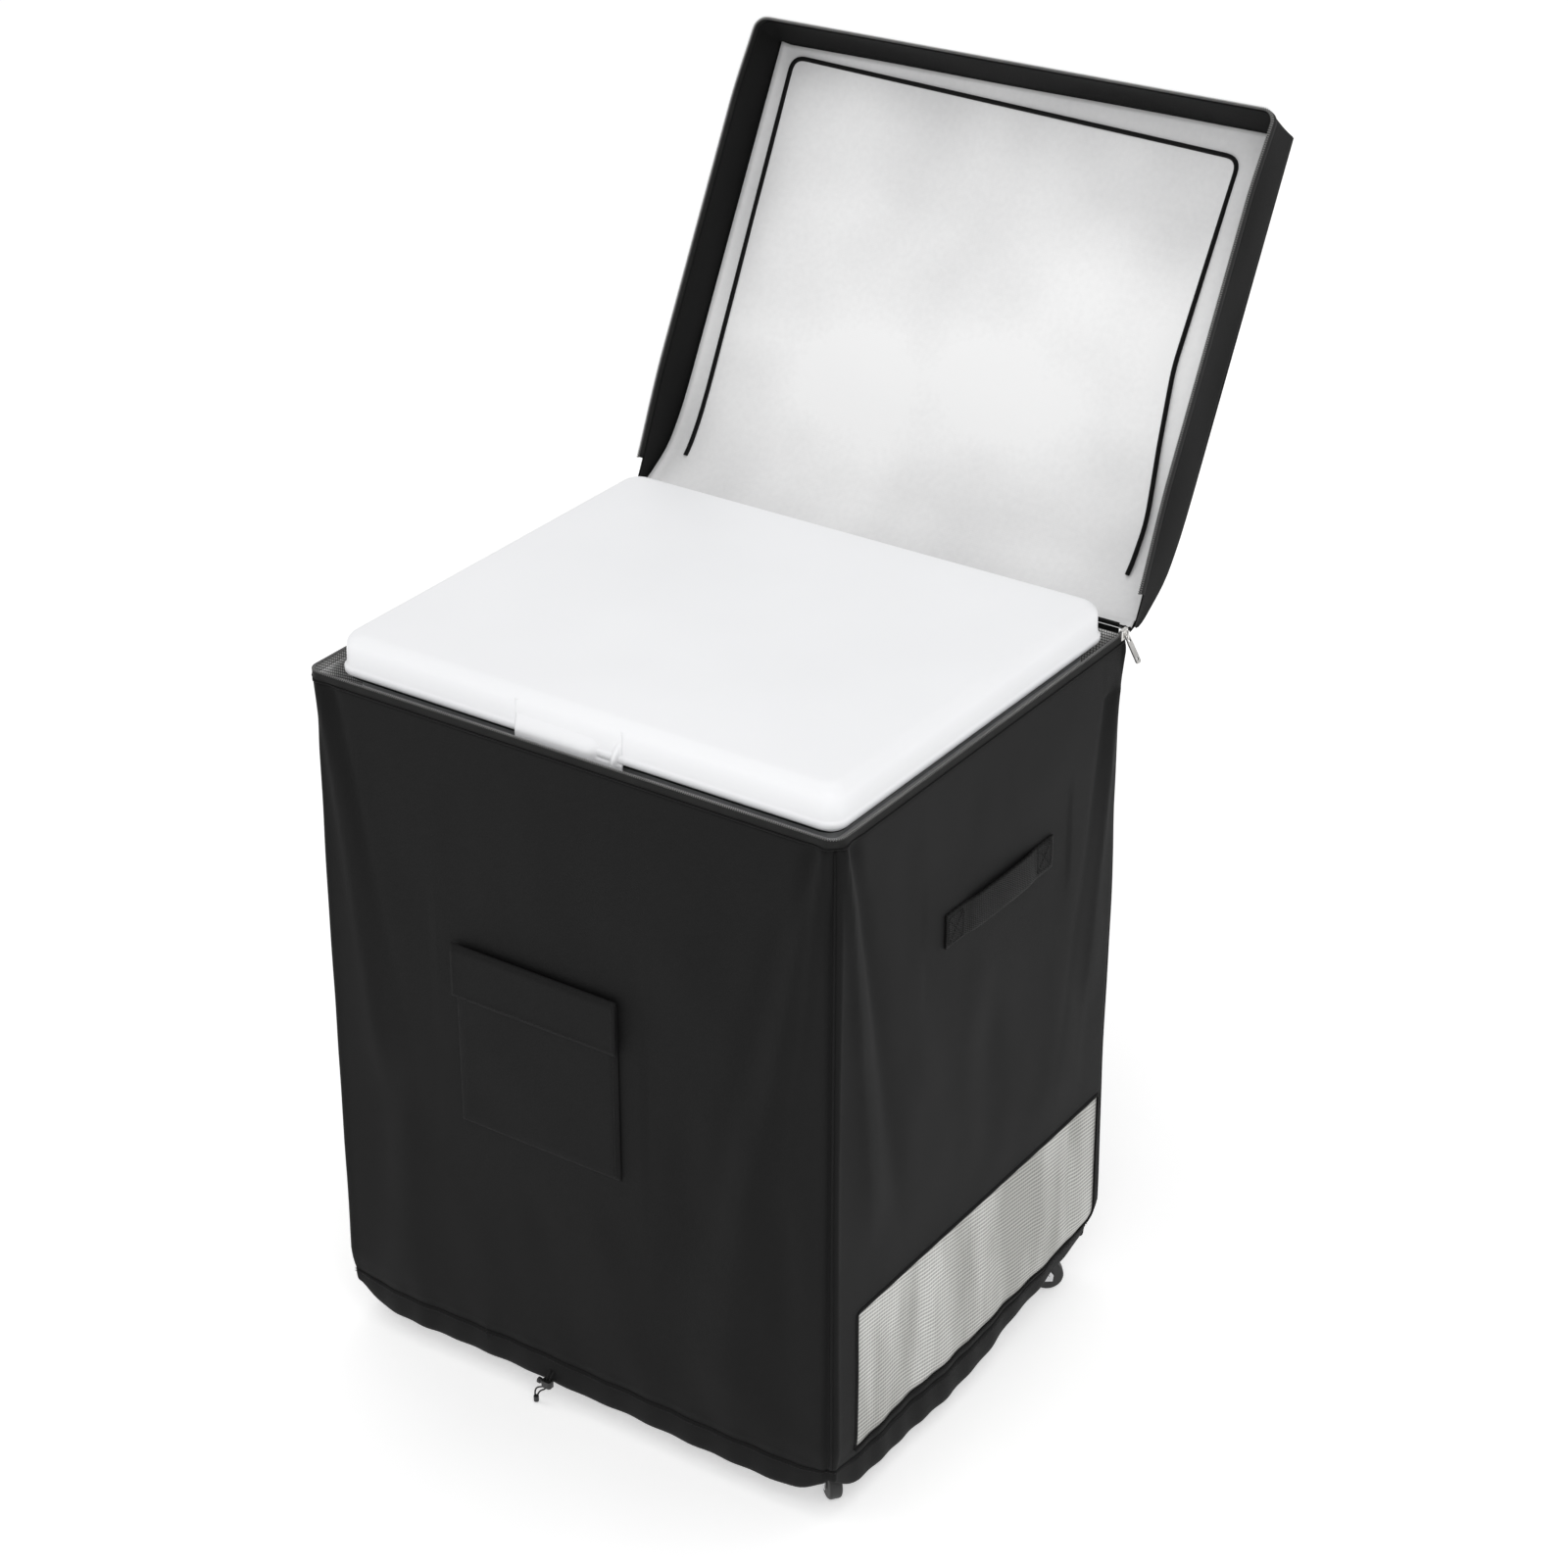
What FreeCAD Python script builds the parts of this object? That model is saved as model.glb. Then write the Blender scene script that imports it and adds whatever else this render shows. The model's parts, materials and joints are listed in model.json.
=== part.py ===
import FreeCAD, Part
import math
import os

# Small chest freezer on casters inside a zip-top fabric cover whose top flap stands open.
# Millimetres, +Z up, X to the right along the front, the front faces -Y.
# The origin is on the floor under the middle of the cover's skirt.

# ---- driving dimensions: cover ----
COVER_WIDTH = 640.0
COVER_DEPTH = 548.0
RIM_Z = 806.0
HEM_Z = 45.0
HEM_HEIGHT = 20.0
HEM_THICKNESS = 4.0
HEM_PLY = 0.8
HEM_CHANNEL = 3.0
HEM_CHANNEL_LIFT = 4.0
FABRIC = 2.0
SKIRT_CORNER_RADIUS = 14.0
ZIP_TAPE_HEIGHT = 10.0
ZIP_GAP = 1.0
FLAP_OPEN_DEG = 118.5
FLAP_WALL_DEPTH = 65.0
FLAP_HEEL = 26.0
FLAP_RISE_LENGTH = 70.0
FLAP_SPLAY = 6.0
LINING = 1.0
PIPING_INSET = 30.0
PIPING_DIAMETER = 5.0

# ---- driving dimensions: cover trimmings ----
VENT_FRONT_Y = -230.0
VENT_BACK_Y = 254.0
VENT_LOW_Z = 72.0
VENT_HIGH_Z = 244.0
POCKET_LEFT_X = -143.0
POCKET_RIGHT_X = 62.0
POCKET_LOW_Z = 330.0
POCKET_HIGH_Z = 540.0
POCKET_GAP = 5.0
POCKET_SHEET = 1.5
POCKET_FLAP_HEIGHT = 62.0
STRAP_MIDDLE_Y = 23.0
STRAP_LENGTH = 206.0
STRAP_WIDTH = 40.0
STRAP_MIDDLE_Z = 613.0
STRAP_THICKNESS = 2.4
STRAP_END = 34.0
STRAP_RAMP = 14.0
STRAP_GAP = 10.0
SLIDER_LENGTH = 12.0
SLIDER_DEPTH = 4.0
SLIDER_HEIGHT = 11.0
SLIDER_BACK_Y = 262.0
PULL_LENGTH = 32.0
PULL_WIDTH = 8.0
PULL_THICKNESS = 1.6
PULL_NECK_LENGTH = 8.0
PULL_NECK_OFFSET = 2.9
PULL_NECK_HALF = 0.7
PULL_BAR_RADIUS = 0.8
PULL_BAR_HALF = 3.6
PULL_CORNER = 2.5
PULL_HOLE_RADIUS = 1.7
PULL_HOLE_RISE = 5.0
PULL_BAR_REACH = 1.4
SLIDER_CORNER = 1.2
LEFT_PULL_DEG = 65.0
RIGHT_PULL_DEG = 30.0
ARCH_DEPTH = 4.0
ARCH_HALF_WIDTH = 1.2
ARCH_HALF_HEIGHT = 5.0
CLEAR = 0.4

# ---- driving dimensions: drawcord ----
CORD_DIAMETER = 1.8
LOCK_Z = 31.5
LOCK_WIDTH = 12.0
LOCK_DEPTH = 9.0
LOCK_HEIGHT = 8.0
BUTTON_STROKE = 2.4
CORD_Y = -280.0
CORD_A = [(-37.0, -273.0, 44.3), (-37.4, -276.6, 40.5), (-38.8, -279.9, 35.6), (-40.2, -280.1, 28.6),
          (-44.2, -280.2, 22.4), (-50.0, -280.6, 18.6), (-53.6, -280.9, 13.2), (-54.6, -281.2, 9.2)]
CORD_B = [(-42.0, -273.0, 44.3), (-42.1, -276.6, 40.5), (-41.9, -279.9, 35.6), (-42.9, -280.1, 26.4),
          (-49.4, -280.3, 23.6), (-55.2, -280.6, 20.4), (-57.9, -280.9, 14.6), (-57.4, -281.2, 9.2)]
BEAD_RADIUS = 2.9
BEAD_LENGTH = 6.5

# ---- driving dimensions: freezer ----
CABINET_X = 10.0
CABINET_WIDTH = 576.0
CABINET_FRONT_Y = -245.0
CABINET_BACK_Y = 219.0
CABINET_TOP_Z = 797.0
BASE_Z = 50.0
BASE_HEIGHT = 14.0
BASE_SHEET = 3.0
SHEET = 1.2
LINER = 3.0
CABINET_WALL = 48.0
FLOOR_INSULATION = 50.0
CABINET_RADIUS = 10.0
TUB_RADIUS = 22.0
TRIM_HEIGHT = 9.0
STEP_WIDTH = 172.0
STEP_HEIGHT = 226.0
LID_WIDTH = 602.0
LID_FRONT_Y = -262.0
LID_BACK_Y = 242.0
LID_LOW_Z = 804.0
LID_HIGH_Z = 850.0
LID_RADIUS = 18.0
LID_SKIN = 2.5
GASKET_WIDTH = 14.0
GRIP_LEFT_X = -64.0
GRIP_RIGHT_X = 65.0
GRIP_LOW_Z = 785.0
GRIP_HIGH_Z = 838.0
LID_AXIS_Y = 239.0
LID_AXIS_Z = 806.0
HINGE_SPACING = 380.0
HINGE_WIDTH = 44.0
HINGE_PIN_RADIUS = 2.5
HINGE_ROOM = 9.0
KNUCKLE_RADIUS = 5.5
EAR_WIDTH = 8.0
EAR_DROP = 3.0
RUNNING_CLEARANCE = 0.06

# ---- driving dimensions: freezer fittings ----
GRILLE_FRONT_Y = -150.0
GRILLE_BACK_Y = 90.0
GRILLE_LOW = 24.0
GRILLE_HIGH = 150.0
GRILLE_SLOT = 6.0
COMPRESSOR_Y = 40.0
COMPRESSOR_LIFT = 12.0
COMPRESSOR_RADIUS = 52.0
COMPRESSOR_HALF_HEIGHT = 56.0
WELD_HEIGHT = 4.0
TERMINAL_HALF = 20.0
FOOT_RADIUS = 9.0
FOOT_OFFSET = 38.0
KNOB_RADIUS = 15.0
KNOB_HEIGHT = 13.0
KNOB_RIB = 2.5
LAMP_RADIUS = 2.9
LAMP_SPACING = 20.0
DRAIN_RADIUS = 9.0
DRAIN_BORE = 6.5
DRAIN_SPOUT_LENGTH = 14.0
GLAND_RADIUS = 9.0
LEDGE_WIDTH = 6.5
LEDGE_HEIGHT = 4.0
LEDGE_Z = 765.0
BASKET_WIDTH = 180.0
BASKET_DEPTH = 120.0
BASKET_WIRE = 1.6
THIN_WIRE = 1.3

# ---- driving dimensions: casters ----
CASTER_X = 264.0
CASTER_FRONT_Y = -217.0
CASTER_BACK_Y = 195.0
WHEEL_RADIUS = 18.0
WHEEL_WIDTH = 14.0
CASTER_TRAIL = 22.0
AXLE_RADIUS = 2.5
KINGPIN_RADIUS = 3.5
PLATE_SIZE = 44.0
PLATE_THICKNESS = 2.5
RACE_RADIUS = 15.0
FORK_TOP_Z = 43.2
FORK_CHEEK = 2.0
CASTER_TRAIL_DEG = {"front_left": 214.0, "front_right": 322.0, "back_left": 143.0, "back_right": 38.0}

V = FreeCAD.Vector
SIDES = ("front", "right", "back", "left")
SEAM_REACH = 90.0
HALF_W = COVER_WIDTH / 2.0
HALF_D = COVER_DEPTH / 2.0
CABINET_LEFT = CABINET_X - CABINET_WIDTH / 2.0
CABINET_RIGHT = CABINET_X + CABINET_WIDTH / 2.0
BODY_Z = BASE_Z + BASE_HEIGHT
TUB_FLOOR_Z = BODY_Z + FLOOR_INSULATION
STEP_TOP_Z = BODY_Z + STEP_HEIGHT
TUB_LEFT = CABINET_LEFT + CABINET_WALL
TUB_RIGHT = CABINET_RIGHT - CABINET_WALL
TUB_FRONT = CABINET_FRONT_Y + CABINET_WALL
TUB_BACK = CABINET_BACK_Y - CABINET_WALL
STEP_LEFT = CABINET_RIGHT - STEP_WIDTH
HINGE_X = (CABINET_X - HINGE_SPACING / 2.0, CABINET_X + HINGE_SPACING / 2.0)
PANEL_LEFT = STEP_LEFT + 30.0
PANEL_RIGHT = CABINET_RIGHT - 22.0
PANEL_LOW_Z = BODY_Z + 30.0
PANEL_HIGH_Z = BODY_Z + 92.0
GLAND_X = CABINET_RIGHT - 60.0
GLAND_Z = BODY_Z + 60.0
DRAIN_X = CABINET_LEFT + 90.0
DRAIN_Z = TUB_FLOOR_Z - 16.0
DRAIN_INNER_Y = TUB_FRONT + 14.0

parts = {}


def add(name, *solids):
    """Keep one node: one solid, or several that stay separate."""
    parts[name] = solids[0] if len(solids) == 1 else Part.makeCompound(list(solids))


def block(x0, x1, y0, y1, z0, z1):
    return Part.makeBox(x1 - x0, y1 - y0, z1 - z0, V(x0, y0, z0))


def rod(radius, start, end):
    axis = V(*end) - V(*start)
    return Part.makeCylinder(radius, axis.Length, V(*start), axis)


def slab(x0, x1, y0, y1, z0, z1, radius):
    """A box whose four upright edges are rounded."""
    body = block(x0, x1, y0, y1, z0, z1)
    upright = [e for e in body.Edges if abs(e.Vertexes[0].Z - e.Vertexes[-1].Z) > 1e-6]
    return body.makeFillet(radius, upright)


def rounded_top(body, z, radius):
    """Round every edge that lies wholly at height z."""
    edges = [e for e in body.Edges if all(abs(v.Z - z) < 1e-6 for v in e.Vertexes)]
    return body.makeFillet(radius, edges)


def prism(points, axis, start, length):
    """Extrude an outline of (a, b) points; axis "x" takes them as (y, z), axis "z" as (x, y)."""
    if axis == "x":
        corners = [V(start, a, b) for a, b in points]
        way = V(length, 0, 0)
    else:
        corners = [V(a, b, start) for a, b in points]
        way = V(0, 0, length)
    body = Part.Face(Part.makePolygon(corners + corners[:1])).extrude(way)
    if body.Volume < 0:
        body.reverse()
    return body


def turned(shape, centre, axis, degrees):
    copy = shape.copy()
    copy.rotate(V(*centre), V(*axis), degrees)
    return copy


def mirrored(shape):
    return shape.mirror(V(0, 0, 0), V(1, 0, 0))


# ---------------------------------------------------------------- cover skirt

def skirt_ring(z0, z1, thickness, inset=0.0):
    """A closed band that follows the skirt's rounded outline."""
    outer = slab(-HALF_W + inset, HALF_W - inset, -HALF_D + inset, HALF_D - inset, z0, z1,
                 SKIRT_CORNER_RADIUS - inset)
    edge = inset + thickness
    inner = slab(-HALF_W + edge, HALF_W - edge, -HALF_D + edge, HALF_D - edge, z0, z1,
                 SKIRT_CORNER_RADIUS - edge)
    return outer.cut(inner)


def wedge(side, z0, z1, plan):
    """The sector of a rectangular plan that belongs to one side, so that panels meet at the corners."""
    left, right, front, back = plan
    corners = {"front": ((left, front), (right, front)), "right": ((right, front), (right, back)),
               "back": ((right, back), (left, back)), "left": ((left, back), (left, front))}[side]
    middle = ((left + right) / 2.0, (front + back) / 2.0)
    inner = [seam_point(c, middle, SEAM_REACH) for c in corners]
    outer = [seam_point(c, middle, -SEAM_REACH) for c in corners]
    return prism([inner[0], outer[0], outer[1], inner[1]], "z", z0, z1 - z0)


def seam_point(corner, middle, inward):
    """A point on the 45 degree line through a corner of the plan."""
    return (corner[0] + inward * math.copysign(1.0, middle[0] - corner[0]),
            corner[1] + inward * math.copysign(1.0, middle[1] - corner[1]))


def by_side(ring, z0, z1, plan=None):
    """Cut a ring into its four sides."""
    plan = plan or (-HALF_W, HALF_W, -HALF_D, HALF_D)
    return {side: ring.common(wedge(side, z0, z1, plan)) for side in SIDES}


def make_skirt():
    low = HEM_Z + HEM_HEIGHT
    high = RIM_Z - ZIP_TAPE_HEIGHT
    panels = by_side(skirt_ring(low, high, FABRIC), low, high)
    meshes = []
    for side, sign in (("right", 1.0), ("left", -1.0)):
        x0, x1 = sorted((sign * (HALF_W - FABRIC), sign * HALF_W))
        window = block(x0, x1, VENT_FRONT_Y, VENT_BACK_Y, VENT_LOW_Z, VENT_HIGH_Z)
        meshes.append(panels[side].common(window))
        panels[side] = panels[side].cut(window)
    add("vent_mesh", *meshes)
    for side, panel in panels.items():
        add("skirt_" + side, panel)


def make_hem():
    hem = skirt_ring(HEM_Z, HEM_Z + HEM_HEIGHT, HEM_THICKNESS)
    channel_low = HEM_Z + HEM_CHANNEL_LIFT
    channel = skirt_ring(channel_low, channel_low + HEM_CHANNEL, HEM_THICKNESS - 2.0 * HEM_PLY, HEM_PLY)
    add("hem_casing", *by_side(hem.cut(channel), HEM_Z, HEM_Z + HEM_HEIGHT).values())
    inset = HEM_THICKNESS / 2.0
    radius = SKIRT_CORNER_RADIUS - inset
    plan = slab(-HALF_W + inset, HALF_W - inset, -HALF_D + inset, HALF_D - inset, 0.0, 1.0, radius)
    bottom = [f for f in plan.Faces if abs(f.CenterOfMass.z) < 1e-6][0]
    route = bottom.OuterWire.copy()
    route.translate(V(0, 0, channel_low + HEM_CHANNEL / 2.0))
    start = route.Edges[0].Vertexes[0].Point
    first = route.Edges[0]
    heading = first.tangentAt(first.FirstParameter)
    section = Part.Wire(Part.makeCircle(CORD_DIAMETER / 2.0, start, heading))
    add("hem_drawcord", Part.Wire(route).makePipeShell([section], True, False))


def zip_band(z0, z1, thickness):
    """Left, front and right stretches of the zip; the back is the fabric hinge."""
    band = skirt_ring(z0, z1, thickness)
    band = band.cut(block(-HALF_W, HALF_W, HALF_D - SKIRT_CORNER_RADIUS, HALF_D, z0, z1))
    sides = by_side(band, z0, z1)
    return [sides[side] for side in ("left", "front", "right")]


def make_skirt_zip():
    low = RIM_Z - ZIP_TAPE_HEIGHT
    high = RIM_Z - ZIP_GAP / 2.0
    add("skirt_zip_tape", *zip_band(low, high, FABRIC))
    rear = skirt_ring(low, high, FABRIC).common(
        block(-HALF_W, HALF_W, HALF_D - SKIRT_CORNER_RADIUS, HALF_D, low, high))
    add("hinge_seam_strip", rear)


# ---------------------------------------------------------------- cover flap, drawn shut and then opened

def flap_profile(inset):
    """Side outline of the shut flap as (y, z): heel at the back, flat panel, slightly raked front wall.

    With an inset it is the hollow, which runs out below through the open mouth.
    """
    free_z = RIM_Z + ZIP_GAP / 2.0 + ZIP_TAPE_HEIGHT
    heel_z = RIM_Z + ZIP_GAP
    top = RIM_Z + FLAP_WALL_DEPTH - inset
    front = -HALF_D + inset
    back = HALF_D - inset
    roof = [(back, RIM_Z + FLAP_HEEL - inset), (HALF_D - FLAP_RISE_LENGTH, top), (front + FLAP_SPLAY, top)]
    if inset:
        return [(back, RIM_Z - inset)] + roof + [(front, free_z), (front, RIM_Z - inset)]
    corner_y = HALF_D - SKIRT_CORNER_RADIUS
    return [(back, heel_z)] + roof + [(front, free_z), (corner_y, free_z), (corner_y, heel_z)]


def flap_body(inset):
    """The solid inside the flap's outline, its two front corners rounded like the skirt's."""
    body = prism(flap_profile(inset), "x", -HALF_W + inset, COVER_WIDTH - 2.0 * inset)
    low = RIM_Z + ZIP_TAPE_HEIGHT
    front = [e for e in body.Edges
             if max(v.Y for v in e.Vertexes) < -HALF_D + inset + FLAP_SPLAY + 0.1
             and max(v.Z for v in e.Vertexes) > low + FLAP_WALL_DEPTH / 2.0
             and min(v.Z for v in e.Vertexes) < low + 2.0]
    return body.makeFillet(SKIRT_CORNER_RADIUS - inset, front)


def opened(shape):
    return turned(shape, (0, HALF_D, RIM_Z), (-1, 0, 0), FLAP_OPEN_DEG)


def roof_space(drop):
    """Everything from the flap's sloping and flat roof down to a given drop below it."""
    top = RIM_Z + FLAP_WALL_DEPTH
    heel = RIM_Z + FLAP_HEEL
    rise = HALF_D - FLAP_RISE_LENGTH
    return prism([(HALF_D, heel - drop), (rise, top - drop), (-HALF_D, top - drop), (-HALF_D, top + 1.0),
                  (HALF_D, top + 1.0)], "x", -HALF_W, COVER_WIDTH)


def make_flap():
    shell = flap_body(0.0).cut(flap_body(FABRIC))
    crown = shell.common(roof_space(FABRIC))
    walls = shell.cut(crown)
    low = RIM_Z
    high = RIM_Z + FLAP_WALL_DEPTH
    add("flap_panel", opened(crown))
    add("flap_walls", *[opened(wall) for wall in by_side(walls, low, high).values()])
    skin = flap_body(FABRIC).common(roof_space(FABRIC + LINING)).cut(roof_space(FABRIC))
    add("flap_lining", opened(skin))
    zip_low = RIM_Z + ZIP_GAP / 2.0
    add("flap_zip_tape", *[opened(side) for side in zip_band(zip_low, zip_low + ZIP_TAPE_HEIGHT, FABRIC)])
    make_piping(high - FABRIC - LINING)


def make_piping(z):
    """Bound seam that stands on the lining: up one side, across the front and down the other."""
    radius = PIPING_DIAMETER / 2.0
    x = HALF_W - PIPING_INSET
    front = -HALF_D + PIPING_INSET
    back = HALF_D - FLAP_RISE_LENGTH - 10.0
    bars = block(-x - radius, x + radius, front - radius, back, z - radius, z)
    hollow = block(-x + radius, x - radius, front + radius, back, z - radius, z)
    add("flap_piping", opened(bars.cut(hollow)))


# ---------------------------------------------------------------- zip sliders

def make_sliders():
    """A slider outside the skirt's zip, its arch upright, and a pull whose bar passes through the arch."""
    x0 = HALF_W + CLEAR
    x1 = x0 + SLIDER_DEPTH
    y = SLIDER_BACK_Y - SLIDER_LENGTH / 2.0
    half = SLIDER_HEIGHT / 2.0
    body = block(x0, x1, y - SLIDER_LENGTH / 2.0, SLIDER_BACK_Y, RIM_Z - half, RIM_Z + half)
    body = body.makeFillet(SLIDER_CORNER, [e for e in body.Edges if min(v.X for v in e.Vertexes) > x1 - 1e-6])
    arch = block(x1 - 0.5, x1 + ARCH_DEPTH, y - ARCH_HALF_WIDTH, y + ARCH_HALF_WIDTH,
                 RIM_Z - ARCH_HALF_HEIGHT, RIM_Z + ARCH_HALF_HEIGHT)
    eye = block(x1, x1 + ARCH_DEPTH - 1.2, y - ARCH_HALF_WIDTH, y + ARCH_HALF_WIDTH,
                RIM_Z - ARCH_HALF_HEIGHT + 1.6, RIM_Z + ARCH_HALF_HEIGHT - 1.6)
    slider = body.fuse(arch.cut(eye)).removeSplitter()
    pivot_x = x1 + PULL_BAR_REACH
    pull = make_pull(pivot_x, y)
    add("zip_slider_right", slider)
    add("zip_pull_right", turned(pull, (pivot_x, y, RIM_Z), (0, -1, 0), RIGHT_PULL_DEG))
    add("zip_slider_left", mirrored(slider))
    add("zip_pull_left", turned(mirrored(pull), (-pivot_x, y, RIM_Z), (0, 1, 0), LEFT_PULL_DEG))


def make_pull(x, y):
    """A flat tab on two necks either side of the arch, hanging straight down from its bar."""
    bar = rod(PULL_BAR_RADIUS, (x, y - PULL_BAR_HALF, RIM_Z), (x, y + PULL_BAR_HALF, RIM_Z))
    low = RIM_Z - PULL_LENGTH
    high = RIM_Z - PULL_NECK_LENGTH
    half = PULL_THICKNESS / 2.0
    middles = (y - PULL_NECK_OFFSET, y + PULL_NECK_OFFSET)
    necks = [block(x - half, x + half, m - PULL_NECK_HALF, m + PULL_NECK_HALF, high - 1.0, RIM_Z) for m in middles]
    tab = block(x - half, x + half, y - PULL_WIDTH / 2.0, y + PULL_WIDTH / 2.0, low, high)
    lower = [e for e in tab.Edges if max(v.Z for v in e.Vertexes) < low + 1e-6
             and abs(e.Vertexes[0].X - e.Vertexes[-1].X) > 1e-6]
    tab = tab.makeFillet(PULL_CORNER, lower)
    hole_z = low + PULL_HOLE_RISE
    hole = rod(PULL_HOLE_RADIUS, (x - half - 1.0, y, hole_z), (x + half + 1.0, y, hole_z))
    return bar.fuse(necks + [tab.cut(hole)]).removeSplitter()


# ---------------------------------------------------------------- pocket, straps, drawcord

def make_pocket():
    face = -HALF_D
    front = face - POCKET_GAP - POCKET_SHEET
    outer = block(POCKET_LEFT_X, POCKET_RIGHT_X, front, face, POCKET_LOW_Z, POCKET_HIGH_Z)
    space = block(POCKET_LEFT_X + POCKET_SHEET, POCKET_RIGHT_X - POCKET_SHEET, front + POCKET_SHEET, face,
                  POCKET_LOW_Z + POCKET_SHEET, POCKET_HIGH_Z)
    add("pocket_body", outer.cut(space))
    back = front - CLEAR
    add("pocket_flap", block(POCKET_LEFT_X - 2.0, POCKET_RIGHT_X + 2.0, back - POCKET_SHEET, back,
                             POCKET_HIGH_Z + 6.0 - POCKET_FLAP_HEIGHT, POCKET_HIGH_Z + 6.0))


def make_straps():
    half = STRAP_LENGTH / 2.0
    x0 = HALF_W
    stops = [(x0, -half), (x0, -half + STRAP_END), (x0 + STRAP_GAP, -half + STRAP_END + STRAP_RAMP)]
    inner = stops + [(x, -y) for x, y in reversed(stops)]
    outer = [(x + STRAP_THICKNESS, y) for x, y in reversed(inner)]
    points = [(x, y + STRAP_MIDDLE_Y) for x, y in inner + outer]
    strap = prism(points, "z", STRAP_MIDDLE_Z - STRAP_WIDTH / 2.0, STRAP_WIDTH)
    add("handle_straps", strap, mirrored(strap))


def cord_tube(name, points):
    """A tube along straight runs joined by tangent arcs."""
    corners = [V(*p) for p in points]
    edges = []
    radii = []
    start = corners[0]
    for before, corner, after in zip(corners, corners[1:], corners[2:]):
        to_before = (before - corner).normalize()
        to_after = (after - corner).normalize()
        turn = math.pi - to_before.getAngle(to_after)
        shorter = min((before - corner).Length, (after - corner).Length)
        radius = 0.45 * shorter / math.tan(turn / 2.0)
        radii.append(round(radius, 1))
        tangent = 0.45 * shorter
        first = corner + to_before * tangent
        last = corner + to_after * tangent
        inward = (to_before + to_after).normalize()
        centre = corner + inward * (radius / math.cos(turn / 2.0))
        middle = centre - inward * radius
        edges.append(Part.LineSegment(start, first).toShape())
        edges.append(Part.Arc(first, middle, last).toShape())
        start = last
    edges.append(Part.LineSegment(start, corners[-1]).toShape())
    path = Part.Wire(edges)
    section = Part.Wire(Part.makeCircle(CORD_DIAMETER / 2.0, corners[0], corners[1] - corners[0]))
    tube = path.makePipeShell([section], True, False)
    print(name, "length", round(path.Length, 1), "radii", radii,
          "volume ratio", round(tube.Volume / (path.Length * section.Edges[0].Curve.Radius ** 2 * math.pi), 4))
    add(name, tube)


def make_drawcord():
    for name, points in (("drawcord_strand_a", CORD_A), ("drawcord_strand_b", CORD_B)):
        cord_tube(name, points)
    x = (CORD_A[2][0] + CORD_B[2][0] + CORD_A[3][0] + CORD_B[3][0]) / 4.0
    half = LOCK_WIDTH / 2.0
    body = slab(x - half, x + half, CORD_Y - LOCK_DEPTH / 2.0, CORD_Y + LOCK_DEPTH / 2.0,
                LOCK_Z - LOCK_HEIGHT / 2.0, LOCK_Z + LOCK_HEIGHT / 2.0, 2.5)
    bore = rod(2.9, (x - half, CORD_Y, LOCK_Z), (x + half - 1.5, CORD_Y, LOCK_Z))
    slot = block(x - 4.2, x + 4.2, CORD_Y - 1.9, CORD_Y + 2.2, LOCK_Z - LOCK_HEIGHT, LOCK_Z + LOCK_HEIGHT)
    add("cord_lock_body", body.cut(bore).cut(slot))
    head_end = x - half - BUTTON_STROKE - 0.5
    head = rod(3.4, (x - half - 6.0, CORD_Y, LOCK_Z), (head_end, CORD_Y, LOCK_Z))
    stem = rod(2.8, (head_end - 0.1, CORD_Y, LOCK_Z), (x - half + 0.4, CORD_Y, LOCK_Z))
    add("cord_lock_button", head.fuse(stem).removeSplitter())
    ends = [V(*CORD_A[-1]), V(*CORD_B[-1])]
    middle = (ends[0] + ends[1]) * 0.5
    bead = Part.makeCylinder(BEAD_RADIUS, BEAD_LENGTH, V(middle.x, middle.y, middle.z), V(0, 0, -1))
    add("cord_end_bead", bead)


# ---------------------------------------------------------------- freezer cabinet

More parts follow.
